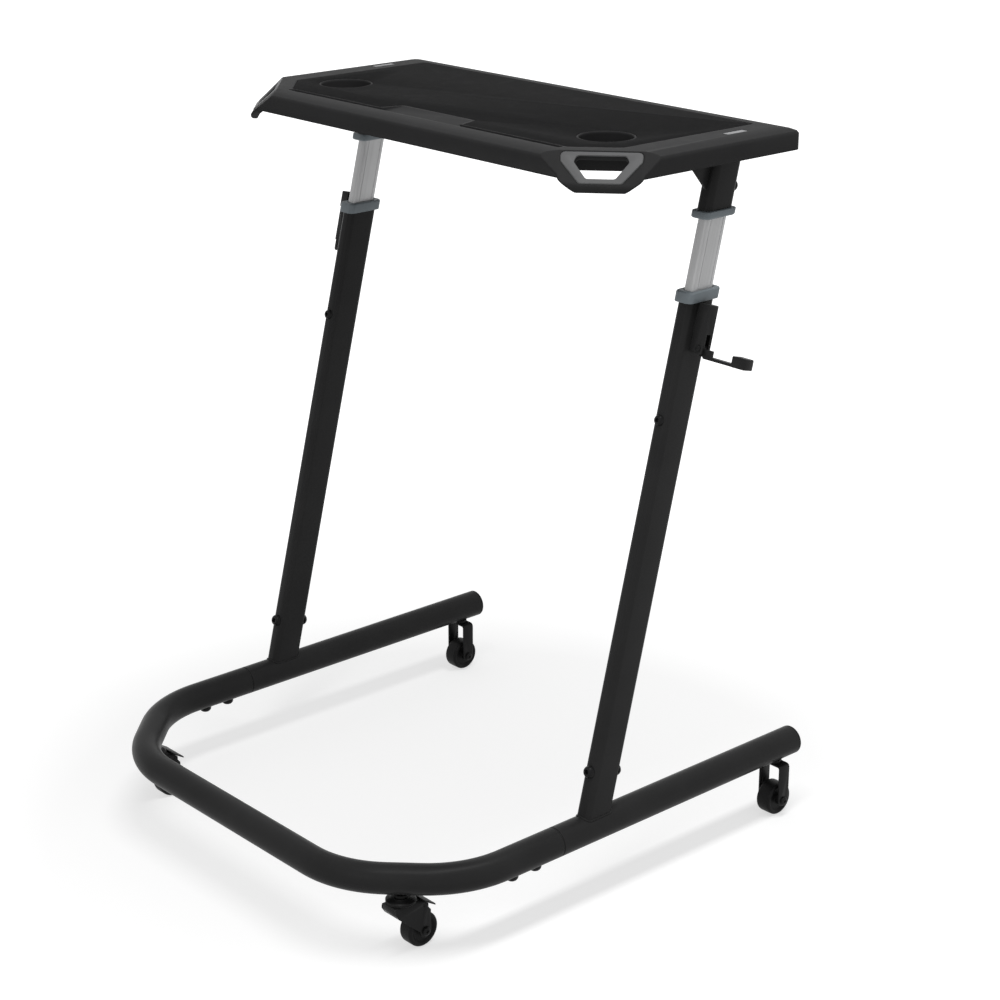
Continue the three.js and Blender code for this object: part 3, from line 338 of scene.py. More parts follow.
def domed_bolt(name, shaft, head, rise, reach, sides=48, sink=0.0):
    """A button-head bolt: its shaft reaches down from Z = 0 and its dome with a hex socket stands on it.
    On a round tube its head starts deeper, by the sink."""
    socket = head * 0.42
    rim = 0.0006
    dome = [(head * math.cos(t), rim + (rise - rim) * math.sin(t))
            for t in (math.radians(80 * i / 7) for i in range(8)) if head * math.cos(t) > socket * 1.3]
    top = dome[-1][1] + 0.0003
    profile = [(shaft, -reach), (shaft, -sink), (head, -sink), *dome, (socket * 1.16, top),
               (socket, top - 0.0004), (socket * 0.98, top - rise * 0.5)]
    piece = turned(name, profile, sides)
    for vert in piece.data.vertices:
        across = math.hypot(vert.co.x, vert.co.y)
        if vert.co.z > 0 and across < socket * 1.02:
            turn = math.atan2(vert.co.y, vert.co.x)
            flat = (turn + math.pi / 6) % (math.pi / 3) - math.pi / 6
            grown = 0.9 / math.cos(flat)
            vert.co.x *= grown
            vert.co.y *= grown
    return piece


def clean_copy(node_name):
    """A copy of a CAD node's mesh with its doubles merged and its flat faces joined."""
    piece = bpy.data.objects.new(node_name + "_copy", frame["nodes"][node_name].data.copy())
    bpy.context.scene.collection.objects.link(piece)
    only(piece)
    bpy.ops.mesh.customdata_custom_splitnormals_clear()
    edit_all(piece)
    bpy.ops.mesh.remove_doubles(threshold=0.00001)
    bpy.ops.mesh.dissolve_limited(angle_limit=math.radians(0.6))
    bpy.ops.mesh.normals_make_consistent(inside=False)
    end_edit()
    return piece


# Materials

def group_of(name, inputs, outputs):
    tree = bpy.data.node_groups.new(name, "ShaderNodeTree")
    for socket, kind, value in inputs:
        made = tree.interface.new_socket(name=socket, in_out="INPUT", socket_type=kind)
        if value is not None:
            made.default_value = value
    for socket, kind in outputs:
        tree.interface.new_socket(name=socket, in_out="OUTPUT", socket_type=kind)
    return tree, tree.nodes.new("NodeGroupInput"), tree.nodes.new("NodeGroupOutput")


def node(tree, kind, inputs=None, **settings):
    made = tree.nodes.new(kind)
    for key, value in settings.items():
        setattr(made, key, value)
    for key, value in (inputs or {}).items():
        if isinstance(value, bpy.types.NodeSocket):
            tree.links.new(value, made.inputs[key])
        else:
            made.inputs[key].default_value = value
    return made


def combined(tree, operation, first, second, clamp=False):
    """Two values put together by a Math node."""
    made = node(tree, "ShaderNodeMath", {0: first, 1: second}, operation=operation, use_clamp=clamp)
    return made.outputs[0]


def spread(tree, value, low, high, to_low=0.0, to_high=1.0):
    """A value mapped from one range to another and held within it."""
    made = node(tree, "ShaderNodeMapRange", {"Value": value, "From Min": low, "From Max": high,
                                             "To Min": to_low, "To Max": to_high})
    return made.outputs["Result"]


def grain_group():
    """Fine surface grain: a pebbled height, and slow patches of shade over the piece."""
    tree, entry, leave = group_of("surface_grain", [
        ("Vector", "NodeSocketVector", None), ("Grain", "NodeSocketFloat", 900.0),
        ("Patches", "NodeSocketFloat", 9.0)], [("Height", "NodeSocketFloat"), ("Patch", "NodeSocketFloat")])
    place, grain, patches = (entry.outputs[socket] for socket in ("Vector", "Grain", "Patches"))
    pebbles = node(tree, "ShaderNodeTexVoronoi", {"Vector": place, "Scale": grain}, feature="SMOOTH_F1")
    fine = node(tree, "ShaderNodeTexNoise", {"Vector": place, "Scale": grain, "Detail": 3.0,
                                             "Roughness": 0.6})
    pebbled = combined(tree, "MULTIPLY", pebbles.outputs["Distance"], 0.7)
    height = combined(tree, "ADD", pebbled, fine.outputs[0])
    slow = node(tree, "ShaderNodeTexNoise", {"Vector": place, "Scale": patches, "Detail": 5.0,
                                             "Roughness": 0.62, "Distortion": 0.4})
    tree.links.new(height, leave.inputs["Height"])
    tree.links.new(spread(tree, slow.outputs[0], 0.3, 0.7), leave.inputs["Patch"])
    return tree


def handling_group():
    """Faint rubbed marks and dust, thin streaks over soft smudges."""
    tree, entry, leave = group_of("handling_marks", [
        ("Vector", "NodeSocketVector", None), ("Size", "NodeSocketFloat", 26.0)],
        [("Rub", "NodeSocketFloat"), ("Dust", "NodeSocketFloat")])
    place, size = entry.outputs["Vector"], entry.outputs["Size"]
    smudge = node(tree, "ShaderNodeTexNoise", {"Vector": place, "Scale": size, "Detail": 6.0,
                                               "Roughness": 0.7, "Distortion": 1.2})
    rub = spread(tree, smudge.outputs[0], 0.5, 0.72)
    stretched = node(tree, "ShaderNodeMapping", {"Vector": place, "Rotation": (0.4, 0.9, 0.3),
                                                 "Scale": (1.0, 14.0, 3.0)})
    lines = node(tree, "ShaderNodeTexNoise", {"Vector": stretched.outputs[0], "Scale": size, "Detail": 2.0})
    scratch = spread(tree, lines.outputs[0], 0.66, 0.72)
    specks = node(tree, "ShaderNodeTexVoronoi", {"Vector": place, "Scale": 420.0})
    dust = spread(tree, specks.outputs["Distance"], 0.16, 0.06)
    marks = combined(tree, "ADD", combined(tree, "MULTIPLY", rub, 0.7),
                     combined(tree, "MULTIPLY", scratch, 0.5), True)
    tree.links.new(marks, leave.inputs["Rub"])
    tree.links.new(combined(tree, "MULTIPLY", dust, rub), leave.inputs["Dust"])
    return tree


def edge_group():
    """A broken mask along the outer edges, where paint thins and plastic gets polished."""
    tree, entry, leave = group_of("edge_wear", [
        ("Width", "NodeSocketFloat", 0.0012), ("Break", "NodeSocketFloat", 60.0)],
        [("Mask", "NodeSocketFloat")])
    soft = node(tree, "ShaderNodeBevel", {"Radius": entry.outputs["Width"]}, samples=4)
    true = node(tree, "ShaderNodeNewGeometry")
    facing = node(tree, "ShaderNodeVectorMath", {0: soft.outputs["Normal"], 1: true.outputs["True Normal"]},
                  operation="DOT_PRODUCT")
    worn = spread(tree, facing.outputs["Value"], 0.985, 0.86)
    place = node(tree, "ShaderNodeTexCoord")
    breaks = node(tree, "ShaderNodeTexNoise", {"Vector": place.outputs["Object"],
                                               "Scale": entry.outputs["Break"], "Detail": 4.0})
    tree.links.new(combined(tree, "MULTIPLY", worn, spread(tree, breaks.outputs[0], 0.35, 0.65)),
                   leave.inputs["Mask"])
    return tree


def drawn_group():
    """Fine lines along a drawn or extruded metal section."""
    tree, entry, leave = group_of("drawn_lines", [
        ("Vector", "NodeSocketVector", None)], [("Lines", "NodeSocketFloat"), ("Bands", "NodeSocketFloat")])
    place = entry.outputs["Vector"]
    thin = node(tree, "ShaderNodeMapping", {"Vector": place, "Scale": (2200.0, 2200.0, 6.0)})
    lines = node(tree, "ShaderNodeTexNoise", {"Vector": thin.outputs[0], "Scale": 1.0, "Detail": 3.0})
    wide = node(tree, "ShaderNodeMapping", {"Vector": place, "Scale": (160.0, 160.0, 1.5)})
    bands = node(tree, "ShaderNodeTexNoise", {"Vector": wide.outputs[0], "Scale": 1.0, "Detail": 2.0})
    tree.links.new(lines.outputs[0], leave.inputs["Lines"])
    tree.links.new(spread(tree, bands.outputs[0], 0.3, 0.7), leave.inputs["Bands"])
    return tree


GRAIN = grain_group()
HANDLING = handling_group()
EDGE = edge_group()
DRAWN = drawn_group()


def finish_of(name, colour, roughness, grain, depth, metallic=0.0, worn=None, marks=0.06, patch=0.14,
              edge=0.35, specular=0.5, drawn=False, soft=0.0):
    """A finish with grain, patches of shade, rubbed marks, dust and worn edges. Soft is the width over which
    the creases of a moulding are smoothed."""
    material = bpy.data.materials.new(name)
    material.use_nodes = True
    tree = material.node_tree
    shader = tree.nodes["Principled BSDF"]
    shader.inputs["Metallic"].default_value = metallic
    shader.inputs["Specular IOR Level"].default_value = specular
    place = node(tree, "ShaderNodeTexCoord").outputs["Object"]
    surface = node(tree, "ShaderNodeGroup", node_tree=GRAIN)
    tree.links.new(place, surface.inputs["Vector"])
    surface.inputs["Grain"].default_value = grain
    handled = node(tree, "ShaderNodeGroup", node_tree=HANDLING)
    tree.links.new(place, handled.inputs["Vector"])
    rim = node(tree, "ShaderNodeGroup", node_tree=EDGE)
    base = (*colour, 1)
    light = (*[min(1.0, c * (1 + 2 * patch)) for c in colour], 1)
    shade = node(tree, "ShaderNodeMix", {"Factor": surface.outputs["Patch"], "A": base, "B": light},
                 data_type="RGBA")
    rubbed = (*(worn or [min(1.0, c * 1.9 + 0.006) for c in colour]), 1)
    edges = combined(tree, "MULTIPLY", rim.outputs["Mask"], edge)
    coloured = node(tree, "ShaderNodeMix", {"Factor": edges, "A": shade.outputs["Result"], "B": rubbed},
                    data_type="RGBA")
    dusty = node(tree, "ShaderNodeMix", {"Factor": combined(tree, "MULTIPLY", handled.outputs["Dust"], 0.05),
                                         "A": coloured.outputs["Result"], "B": (0.3, 0.29, 0.27, 1)},
                 data_type="RGBA")
    tree.links.new(dusty.outputs["Result"], shader.inputs["Base Color"])
    varied = spread(tree, surface.outputs["Patch"], 0.0, 1.0, roughness - 0.04, roughness + 0.04)
    smudged = combined(tree, "ADD", varied, combined(tree, "MULTIPLY", handled.outputs["Rub"], -marks))
    worn_edge = combined(tree, "MULTIPLY", rim.outputs["Mask"], -0.1 * edge)
    polished = combined(tree, "ADD", smudged, worn_edge, True)
    bump = node(tree, "ShaderNodeBump", {"Height": surface.outputs["Height"], "Strength": 0.5,
                                         "Distance": depth})
    if soft:
        creases = node(tree, "ShaderNodeBevel", {"Radius": soft}, samples=8)
        tree.links.new(creases.outputs["Normal"], bump.inputs["Normal"])
    normal = bump.outputs["Normal"]
    if drawn:
        upright = node(tree, "ShaderNodeMapping", {"Vector": place, "Rotation": (LEAN, 0, 0)})
        lines = node(tree, "ShaderNodeGroup", node_tree=DRAWN)
        tree.links.new(upright.outputs[0], lines.inputs["Vector"])
        polished = combined(tree, "ADD", polished,
                          spread(tree, lines.outputs["Lines"], 0.3, 0.7, -0.06, 0.06), True)
        banded = node(tree, "ShaderNodeMix", {"Factor": lines.outputs["Bands"],
                                              "A": dusty.outputs["Result"],
                                              "B": (*[c * 0.82 for c in colour], 1)}, data_type="RGBA")
        tree.links.new(banded.outputs["Result"], shader.inputs["Base Color"])
        normal = node(tree, "ShaderNodeBump", {"Height": lines.outputs["Lines"], "Strength": 0.25,
                                               "Distance": 0.00003, "Normal": normal}).outputs["Normal"]
    tree.links.new(polished, shader.inputs["Roughness"])
    tree.links.new(normal, shader.inputs["Normal"])
    return material


FINISHES = {
    "frame": finish_of("black_powder_coat", (0.0208, 0.0208, 0.021), 0.36, 1500.0, 0.00004, specular=0.055),
    "hardware": finish_of("black_oxide_steel", (0.009, 0.009, 0.0093), 0.36, 1800.0, 0.00002,
                          worn=(0.05, 0.049, 0.048), edge=0.4, specular=0.1),
    "desk_plastic": finish_of("moulded_desk_plastic", (0.0222, 0.0222, 0.0226), 0.55, 1100.0, 0.00006,
                              edge=0.1, specular=0.03, soft=0.004),
    "black_plastic": finish_of("black_grip_plastic", (0.0085, 0.0085, 0.0088), 0.48, 1300.0, 0.00004,
                               specular=0.14),
    "mat": finish_of("desk_mat_rubber", (0.01, 0.01, 0.0102), 0.85, 700.0, 0.00012, specular=0.02, edge=0.2,
                     marks=0.1),
    "bezel": finish_of("grey_bezel_plastic", (0.085, 0.0855, 0.087), 0.5, 1200.0, 0.00004, edge=0.2,
                       specular=0.15),
    "collar": finish_of("blue_grey_collar_plastic", (0.155, 0.179, 0.194), 0.5, 1200.0, 0.00004, edge=0.3,
                        specular=0.3),
    "silver": finish_of("drawn_aluminium", (0.53, 0.532, 0.536), 0.48, 1500.0, 0.00001, metallic=0.3,
                        patch=0.03, edge=0.15, specular=0.3, drawn=True),
    "badge": finish_of("satin_badge_plate", (0.19, 0.192, 0.197), 0.42, 1500.0, 0.00001, metallic=0.2,
                       edge=0.15, specular=0.3),
    "wheel": finish_of("black_tread", (0.007, 0.007, 0.0073), 0.48, 900.0, 0.00005, specular=0.11),
}


# Putting pieces in the model

def settle(piece, name, body, slot, stands_for=(), matrix=Matrix.Identity(4), angle=38, finish=None):
    """Puts a finished piece in its place, gives it its finish and hands it to its body."""
    moved(piece, matrix)
    piece.name = name
    piece.data.name = name
    only(piece)
    if matrix.determinant() < 0:
        edit_all(piece)
        bpy.ops.mesh.normals_make_consistent(inside=False)
        end_edit()
    bpy.ops.object.shade_smooth_by_angle(angle=math.radians(angle))
    piece.data.materials.clear()
    piece.data.materials.append(FINISHES[finish or slot])
    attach(piece, body)
    if stands_for:
        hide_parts(*stands_for)


def body_for(body, side):
    return body if body in ("frame", "desk") else f"{body}_{side}"


def pair(piece, name, body, slot, place, replace=True, finish=None):
    """Puts a piece on the right side, and its mirror image with its own mesh on the left."""
    twin = copy_of(piece)
    for side, one, matrix in (("right", piece, BASE @ place), ("left", twin, BASE @ MIRROR @ place)):
        nodes = [f"{name}_{side}"] if replace else []
        settle(one, f"{name}_{side}_finished", body_for(body, side), slot, nodes, matrix, finish=finish)


def pair_of_copies(name, body, slot, width, widen=1.0):
    """Copies of the CAD nodes of both sides, with rounded edges and widened from front to back."""
    for side in ("right", "left"):
        node_name = f"{name}_{side}"
        piece = clean_copy(node_name)
        round_edges(piece, width, 32)
        ends = [vert.co.y for vert in piece.data.vertices]
        middle = (min(ends) + max(ends)) / 2
        for vert in piece.data.vertices:
            vert.co.y = middle + (vert.co.y - middle) * widen
        settle(piece, node_name + "_finished", body_for(body, side), slot, [node_name])


# Base

def front_rail():
    """One tube bent to a U with cut corners: a ring is drawn along the legs and spun round the four bends."""
    bpy.ops.object.select_all(action="DESELECT")
    bpy.ops.mesh.primitive_circle_add(vertices=64, radius=TUBE_RADIUS - SEAM_LIP, fill_type="NOTHING",
                                      location=(LEG_X, RAIL_LEG, TUBE_HEIGHT), rotation=(math.pi / 2, 0, 0))
    rail = bpy.context.active_object
    bpy.ops.object.transform_apply(location=True, rotation=True, scale=True)
    edit_all(rail)
    grown = TUBE_RADIUS / (TUBE_RADIUS - SEAM_LIP)
    extrude_by(0, -SEAM_LIP, 0)
    bpy.ops.transform.resize(value=(grown, 1, grown),
                             center_override=(LEG_X, RAIL_LEG - SEAM_LIP, TUBE_HEIGHT))
    extrude_by(0, SEAM_LIP - RAIL_STRAIGHT, 0)
    at = Vector((LEG_X, RAIL_LEG - RAIL_STRAIGHT, TUBE_HEIGHT))
    heading = Vector((0, -1, 0))
    corner = CORNER_CUT * math.sqrt(2) - 2 * BEND_REACH
    across = 2 * (LEG_X - CORNER_CUT - BEND_REACH)
    turn = Matrix.Rotation(-math.pi / 4, 4, "Z")
    for straight in (corner, across, corner, RAIL_STRAIGHT - SEAM_LIP):
        inwards = Vector((heading.y, -heading.x, 0))
        centre = at + inwards * BEND_RADIUS
        bpy.ops.mesh.spin(steps=14, angle=math.pi / 4, center=centre, axis=(0, 0, 1))
        at = centre + turn @ (at - centre)
        heading = turn @ heading
        extrude_by(*(heading * straight))
        at = at + heading * straight
    extrude_by(0, SEAM_LIP, 0)
    bpy.ops.transform.resize(value=(1 / grown, 1, 1 / grown), center_override=at + Vector((0, SEAM_LIP, 0)))
    end_edit()
    settle(close_up(rail), "front_rail_finished", "frame", "frame", ["front_rail"], BASE)


def foot_tube():
    start = RAIL_LEG + SEAM
    edge = 0.0006
    tube = turned("foot", [(TUBE_RADIUS - SEAM_LIP, start), (TUBE_RADIUS, start + SEAM_LIP),
                           (TUBE_RADIUS, FOOT_END - edge), (TUBE_RADIUS - edge, FOOT_END)])
    pair(tube, "foot_tube", "frame", "frame", FOOT @ TO_Y)


def foot_cap():
    """A plug with a rolled lip, a shallow dished face and a small gate mark in its middle."""
    lip = 0.0025
    profile = [(TUBE_RADIUS - 0.003, -0.016), (TUBE_RADIUS - 0.0026, -0.0155), (TUBE_RADIUS - 0.0026, 0.0003),
               (TUBE_RADIUS, 0.0003), (TUBE_RADIUS, 0.0012),
               *arc(TUBE_RADIUS - 0.0016, 0.0012, 0.0016, 0, 90), (TUBE_RADIUS - 0.0045, lip + 0.0003),
               (TUBE_RADIUS - 0.0056, lip - 0.0002), (0.003, lip - 0.0002), (0.0026, lip), (0.0012, lip)]
    pair(turned("cap", profile), "foot_cap", "frame", "black_plastic",
         Matrix.Translation((LEG_X, FOOT_END, TUBE_HEIGHT)) @ TO_Y)


def weld_bead(name, body, points, radius, place):
    """A rippled bead of weld along a closed line."""
    bpy.ops.object.select_all(action="DESELECT")
    bpy.ops.mesh.primitive_circle_add(vertices=len(points), radius=1, fill_type="NOTHING")
    line = bpy.context.active_object
    for vert, point in zip(line.data.vertices, points):
        vert.co = point
    bpy.ops.object.convert(target="CURVE")
    curve = bpy.context.active_object
    curve.data.bevel_depth = radius
    curve.data.bevel_resolution = 4
    for i, point in enumerate(curve.data.splines[0].points):
        point.radius = 1 + 0.1 * math.sin(i * 1.9)
    bpy.ops.object.convert(target="MESH")
    pair(bpy.context.active_object, name, body, "frame", place, replace=False)


def oval_outline(thick, wide, corner):
    """Points round a flat-sided oval, with 11 at each corner."""
    steps = 10
    points = []
    for quarter, (side, end) in enumerate(((1, 1), (-1, 1), (-1, -1), (1, -1))):
        for i in range(steps + 1):
            turn = (quarter + i / steps) * math.pi / 2
            points.append((side * (thick - corner) + corner * math.cos(turn),
                           end * (wide - corner) + corner * math.sin(turn)))
    return points


def post_foot_line():
    """Where the leaning oval post meets the round foot tube, in the post's own frame."""
    clear = 0.0002
    line = []
    for x, y in oval_outline(POST_HALF[0] + clear, POST_HALF[1] + clear, POST_CORNER):
        height = math.sqrt(TUBE_RADIUS ** 2 - x ** 2)
        along = (height + y * math.sin(LEAN)) / math.cos(LEAN)
        line.append((x, y, along + clear))
    return line


def post_tube():
    """The post, cut level with the floor at its top."""
    thick, wide = POST_HALF
    soft = 0.0005
    top = POST_LENGTH + 0.001
    tube = flat_oval("post", [(thick, wide, 0.010), (thick, wide, top - soft),
                              (thick - soft, wide - soft, top)], POST_CORNER)
    for vert in tube.data.vertices:
        if vert.co.z > top - 2 * soft:
            vert.co = LEVEL @ vert.co
    pair(tube, "post_tube", "frame", "frame", POST)
    weld_bead("post_weld", "frame", post_foot_line(), 0.0015, POST)


def inner_tube():
    """The drawn inner tube, with two thin grooves down each flat side."""
    thick, wide = INNER_HALF
    soft = 0.0004
    tube = flat_oval("inner", [(thick - soft, wide - soft, INNER_LOW), (thick, wide, INNER_LOW + soft),
                               (thick, wide, INNER_HIGH - soft), (thick - soft, wide - soft, INNER_HIGH)],
                     INNER_CORNER, 96)
    groove_half, past = 0.0006, 0.010
    side = thick + 0.0006
    for x in (side, -side):
        for y in (-GROOVE_OUT, GROOVE_OUT):
            cut_out(tube, block("groove", (x - 0.001, y - groove_half, INNER_LOW - past),
                                (x + 0.001, y + groove_half, INNER_HIGH + past)))
    pair(close_up(tube), "inner_tube", "desk", "silver", POST_TOP)


def collar(name, body, low, high, bevel_up):
    """A moulded collar round the inner tube, level with the floor, with a bevel at its free end and a lip
    round its passage."""
    thick, wide = COLLAR_HALF
    bore_thick, bore_wide = INNER_HALF[0] + SEAM, INNER_HALF[1] + SEAM
    height = high - low
    bevel = 0.0026
    rings = [(bore_thick, bore_wide, 0), (thick - 0.0008, wide - 0.0008, 0),
             (thick - 0.0002, wide - 0.0002, 0.0003), (thick, wide, 0.0009), (thick, wide, height - bevel)]
    for share in (0.25, 0.5, 0.75, 1.0):
        turn = share * math.pi / 2
        inset = bevel * (1 - math.cos(turn))
        rings.append((thick - inset, wide - inset, height - bevel * (1 - math.sin(turn))))
    rings += [(bore_thick + 0.0016, bore_wide + 0.0016, height),
              (bore_thick + 0.001, bore_wide + 0.001, height - 0.0005),
              (bore_thick, bore_wide, height - 0.0015)]
    piece = flat_oval(name, rings, INNER_CORNER, 96, hollow=True)
    place = Matrix.Translation((0, 0, low))
    if not bevel_up:
        place = Matrix.Translation((0, 0, high)) @ DOWN
    pair(piece, name, body, "collar", POST_TOP @ LEVEL @ place)


def bolts():
    """Two bolts up into each leg of the rail, a through bolt, a stop screw and a socket bolt on each post."""
    rail_bolt = domed_bolt("rail_bolt", 0.004, 0.0092, 0.0078, 0.010, sink=0.0016)
    for which, y in zip(("front", "rear"), RAIL_BOLTS):
        pair(copy_of(rail_bolt), f"rail_bolt_{which}", "frame", "hardware",
             Matrix.Translation((LEG_X, y, TUBE_HEIGHT - TUBE_RADIUS - SEAM)) @ DOWN)
    bpy.data.objects.remove(rail_bolt)

    seat = POST_HALF[1] + SEAM
    rearwards = Matrix.Translation((0, seat, 0)) @ TO_Y
    forwards = Matrix.Translation((0, -seat, 0)) @ TO_Y.inverted()
    head = moved(domed_bolt("head", 0.004, 0.0088, 0.008, seat), rearwards)
    nut = moved(domed_bolt("nut", 0.004, 0.0088, 0.008, 0.002), forwards)
    pair(joined("post_bolt", head, nut), "post_bolt", "frame", "hardware",
         POST @ Matrix.Translation((0, 0, POST_BOLT_HEIGHT)))
    stop = moved(domed_bolt("stop", 0.003, 0.0074, 0.0062, 0.004), forwards)
    pair(stop, "stop_screw", "frame", "hardware", POST_TOP @ Matrix.Translation((0, 0, -STOP_DROP)))
    socket = moved(domed_bolt("socket", 0.004, 0.0084, 0.0076, 0.010), rearwards)
    pair(socket, "socket_bolt", "desk", "hardware",
         POST_TOP @ Matrix.Translation((0, 0, SOCKET_BOTTOM + SOCKET_BOLT_RISE)))


def lever_pin():
    """The lever's pin, with a low head at both ends."""
    seat = 0.0083
    head = [(0.0042, seat), *arc(0.0034, seat + 0.0007, 0.0008, 0, 90, 4), (0.0016, seat + 0.0015),
            (0.0013, seat + 0.0009)]
    profile = [(r, -z) for r, z in reversed(head)] + [(0.0025, -seat), (0.0025, seat)] + head
    pair(turned("pin", profile, 48), "lever_pin", "frame", "hardware",
         POST_TOP @ Matrix.Translation((PIVOT_OUT, 0, -PIVOT_DROP)) @ TO_Y)


def socket_bracket():
    """An oval socket and a gusset welded under a screwed plate."""
    thick, wide = POST_HALF
    sleeve = flat_oval("sleeve", [(thick - 0.0005, wide - 0.0005, -SOCKET_LENGTH),
                                  (thick, wide, 0.0005 - SOCKET_LENGTH), (thick, wide, 0.02)], POST_CORNER)
    for vert in sleeve.data.vertices:
        if vert.co.z < 0:
            vert.co = LEVEL @ vert.co
    moved(sleeve, Matrix.Rotation(-LEAN, 4, "X"))
    edit_all(sleeve)
    bpy.ops.mesh.bisect(plane_co=(0, 0, PLATE_THICKNESS / 2), plane_no=(0, 0, 1), clear_outer=True,
                        use_fill=True)
    end_edit()
    close_up(sleeve)
    top = block("top", (-PLATE_HALF_WIDTH, PLATE_FRONT, 0), (PLATE_HALF_WIDTH, PLATE_REAR, PLATE_THICKNESS))
    edit_all(top)
    mesh = bmesh.from_edit_mesh(top.data)
    for edge in mesh.edges:
        a, b = edge.verts
        edge.select_set(abs(a.co.z - b.co.z) > PLATE_THICKNESS / 2)
    bmesh.update_edit_mesh(top.data)
    bpy.ops.mesh.bevel(offset=0.004, segments=5)
    end_edit()
    round_edges(top, 0.0004, 50)
    at_plate = -wide / math.cos(LEAN)
    below = at_plate - GUSSET_REACH * math.tan(LEAN)
    outline = [(0, at_plate + 0.006), (0, below - GUSSET_DEPTH), (-0.0015, below - GUSSET_DEPTH),
               (-GUSSET_REACH, below + 0.0004), (-GUSSET_REACH, below + 0.003)]
    upright = Matrix(((0, 0, 1, -GUSSET_THICKNESS / 2), (0, 1, 0, 0), (1, 0, 0, 0), (0, 0, 0, 1)))
    gusset = close_up(moved(plate("gusset", outline, GUSSET_THICKNESS, 0.0005), upright))
    pair(joined("bracket", sleeve, top, gusset), "socket_bracket", "desk", "frame", BRACKET)
    line = []
    for x, y in oval_outline(thick + 0.0002, wide + 0.0002, POST_CORNER):
        line.append((x, y / math.cos(LEAN), -0.0003))
    weld_bead("bracket_weld", "desk", line, 0.0014, BRACKET)


def plate_screws():
    """Small domed screws that hold each bracket plate to the desktop."""
    across = PLATE_HALF_WIDTH - SCREW_INSET
    corners = [(x, y) for y in (PLATE_FRONT + SCREW_INSET, PLATE_REAR - SCREW_INSET)
               for x in (across, -across)]
    for i, (x, y) in enumerate(corners):
        screw = domed_bolt("plate_screw", 0.0022, 0.0045, 0.0026, 0.003, 32)
        pair(screw, f"plate_screw_{i + 1}", "desk", "hardware",
             BRACKET @ Matrix.Translation((x, y, -0.0001)) @ DOWN, replace=False)


# Casters

def wheels():
    """A moulded wheel: a rounded tread, a dished face with a step and a hub boss."""
    shoulder = 0.004
    for name, body, hub, half, place in (("rear_wheel", "wheel_rear", 0.0177, 0.0125, REAR_WHEEL),
                                         ("front_wheel", "wheel_front", 0.0127, 0.0116, FRONT_WHEEL)):
        flank = [(0.0043, hub), (0.0068, hub), (0.0075, hub - 0.0007), (0.0078, half - 0.0022),
                 (0.0083, half - 0.0026), (0.0168, half - 0.0026), (0.0172, half - 0.0022),
                 (0.0185, half - 0.0012), (0.0193, half - 0.0002), (0.0198, half)]
        flank += arc(WHEEL_RADIUS - shoulder, half - shoulder, shoulder, 90, 0, 8)
        flank.append((WHEEL_RADIUS, 0.0006))
        other = [(r, -z) for r, z in reversed(flank)]
        pair(turned("wheel", flank + other, 96, hollow=True), name, body, "wheel", place @ TO_X)


def axles():
    """Each wheel's axle, with a stepped head on both outer faces of its fork."""
    fork_plate = 0.0028
    for name, body, inside, place in (("rear_axle", "frame", 0.018, REAR_WHEEL),
                                      ("front_axle", "caster", 0.013, FRONT_WHEEL)):
        seat = inside + fork_plate
        head = [(0.0060, seat), (0.0060, seat + 0.0018), (0.0055, seat + 0.0026), (0.0046, seat + 0.003),
                (0.0024, seat + 0.003), (0.0021, seat + 0.0022), (0.0019, seat + 0.0014)]
        profile = [(r, -z) for r, z in reversed(head)] + [(0.004, -seat), (0.004, seat)] + head
        pair(turned("axle", profile, 48), name, body, "hardware", place @ TO_X)


def caster_stem():
    """The fixed half of a swivel caster: kingpin, race cups with a ball gap, washer and stem."""
    race = 0.0763
    pin_end = 0.0732
    profile = [(0.0040, pin_end - 0.003), (0.0066, pin_end - 0.003), (0.008, pin_end - 0.002),
               (0.008, pin_end), (0.005, pin_end), (0.005, race), (0.0203, race), (0.021, race + 0.0007),
               (0.021, race + 0.0016), (0.0204, race + 0.0019), (0.0204, race + 0.0023),
               (0.021, race + 0.0026), (0.021, race + 0.0036), (0.0202, race + 0.0046),
               (0.0182, race + 0.0056), (0.0142, race + 0.0066), (0.013, race + 0.0079),
               (0.0092, race + 0.008), (0.009, race + 0.0084), (0.009, 0.0874), (0.0086, 0.0877),
               (0.005, 0.0877), (0.005, 0.100)]
    pair(turned("stem", profile, 72), "caster_stem", "frame", "hardware", FRONT_CASTER)


def fork_nose():
    """The bent wall that closes the nose of each swept fork between its two plates."""
    outside = [(-0.021, 0.0736), (-0.021, 0.0668), (-0.0159, 0.0592), (-0.002, 0.0466)]
    inside = [(-0.0007, 0.0482), (-0.0144, 0.0606), (-0.019, 0.0674), (-0.019, 0.0736)]
    wall = plate("nose", outside + inside, NOSE_WIDTH)
    across = Matrix(((0, 0, 1, -NOSE_WIDTH / 2), (1, 0, 0, 0), (0, 1, 0, 0), (0, 0, 0, 1)))
    pair(wall, "fork_nose", "caster", "hardware", FRONT_CASTER @ across, replace=False)


# Desktop

def desktop():
    """The moulded desktop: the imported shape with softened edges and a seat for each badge."""
    top = clean_copy("desktop")
    half_x, half_y = BADGE_HALF[0] + BADGE_GAP, BADGE_HALF[1] + BADGE_GAP
    for x in (BADGE[0], -BADGE[0]):
        seat = block("seat", (x - half_x, BADGE[1] - half_y, BADGE_BED),
                     (x + half_x, BADGE[1] + half_y, 0.004))
        cut_out(top, moved(seat, BASE @ DESK))
    round_edges(top, 0.0007, 28)
    settle(top, "desktop_finished", "desk", "desk_plastic", ["desktop"], angle=30)


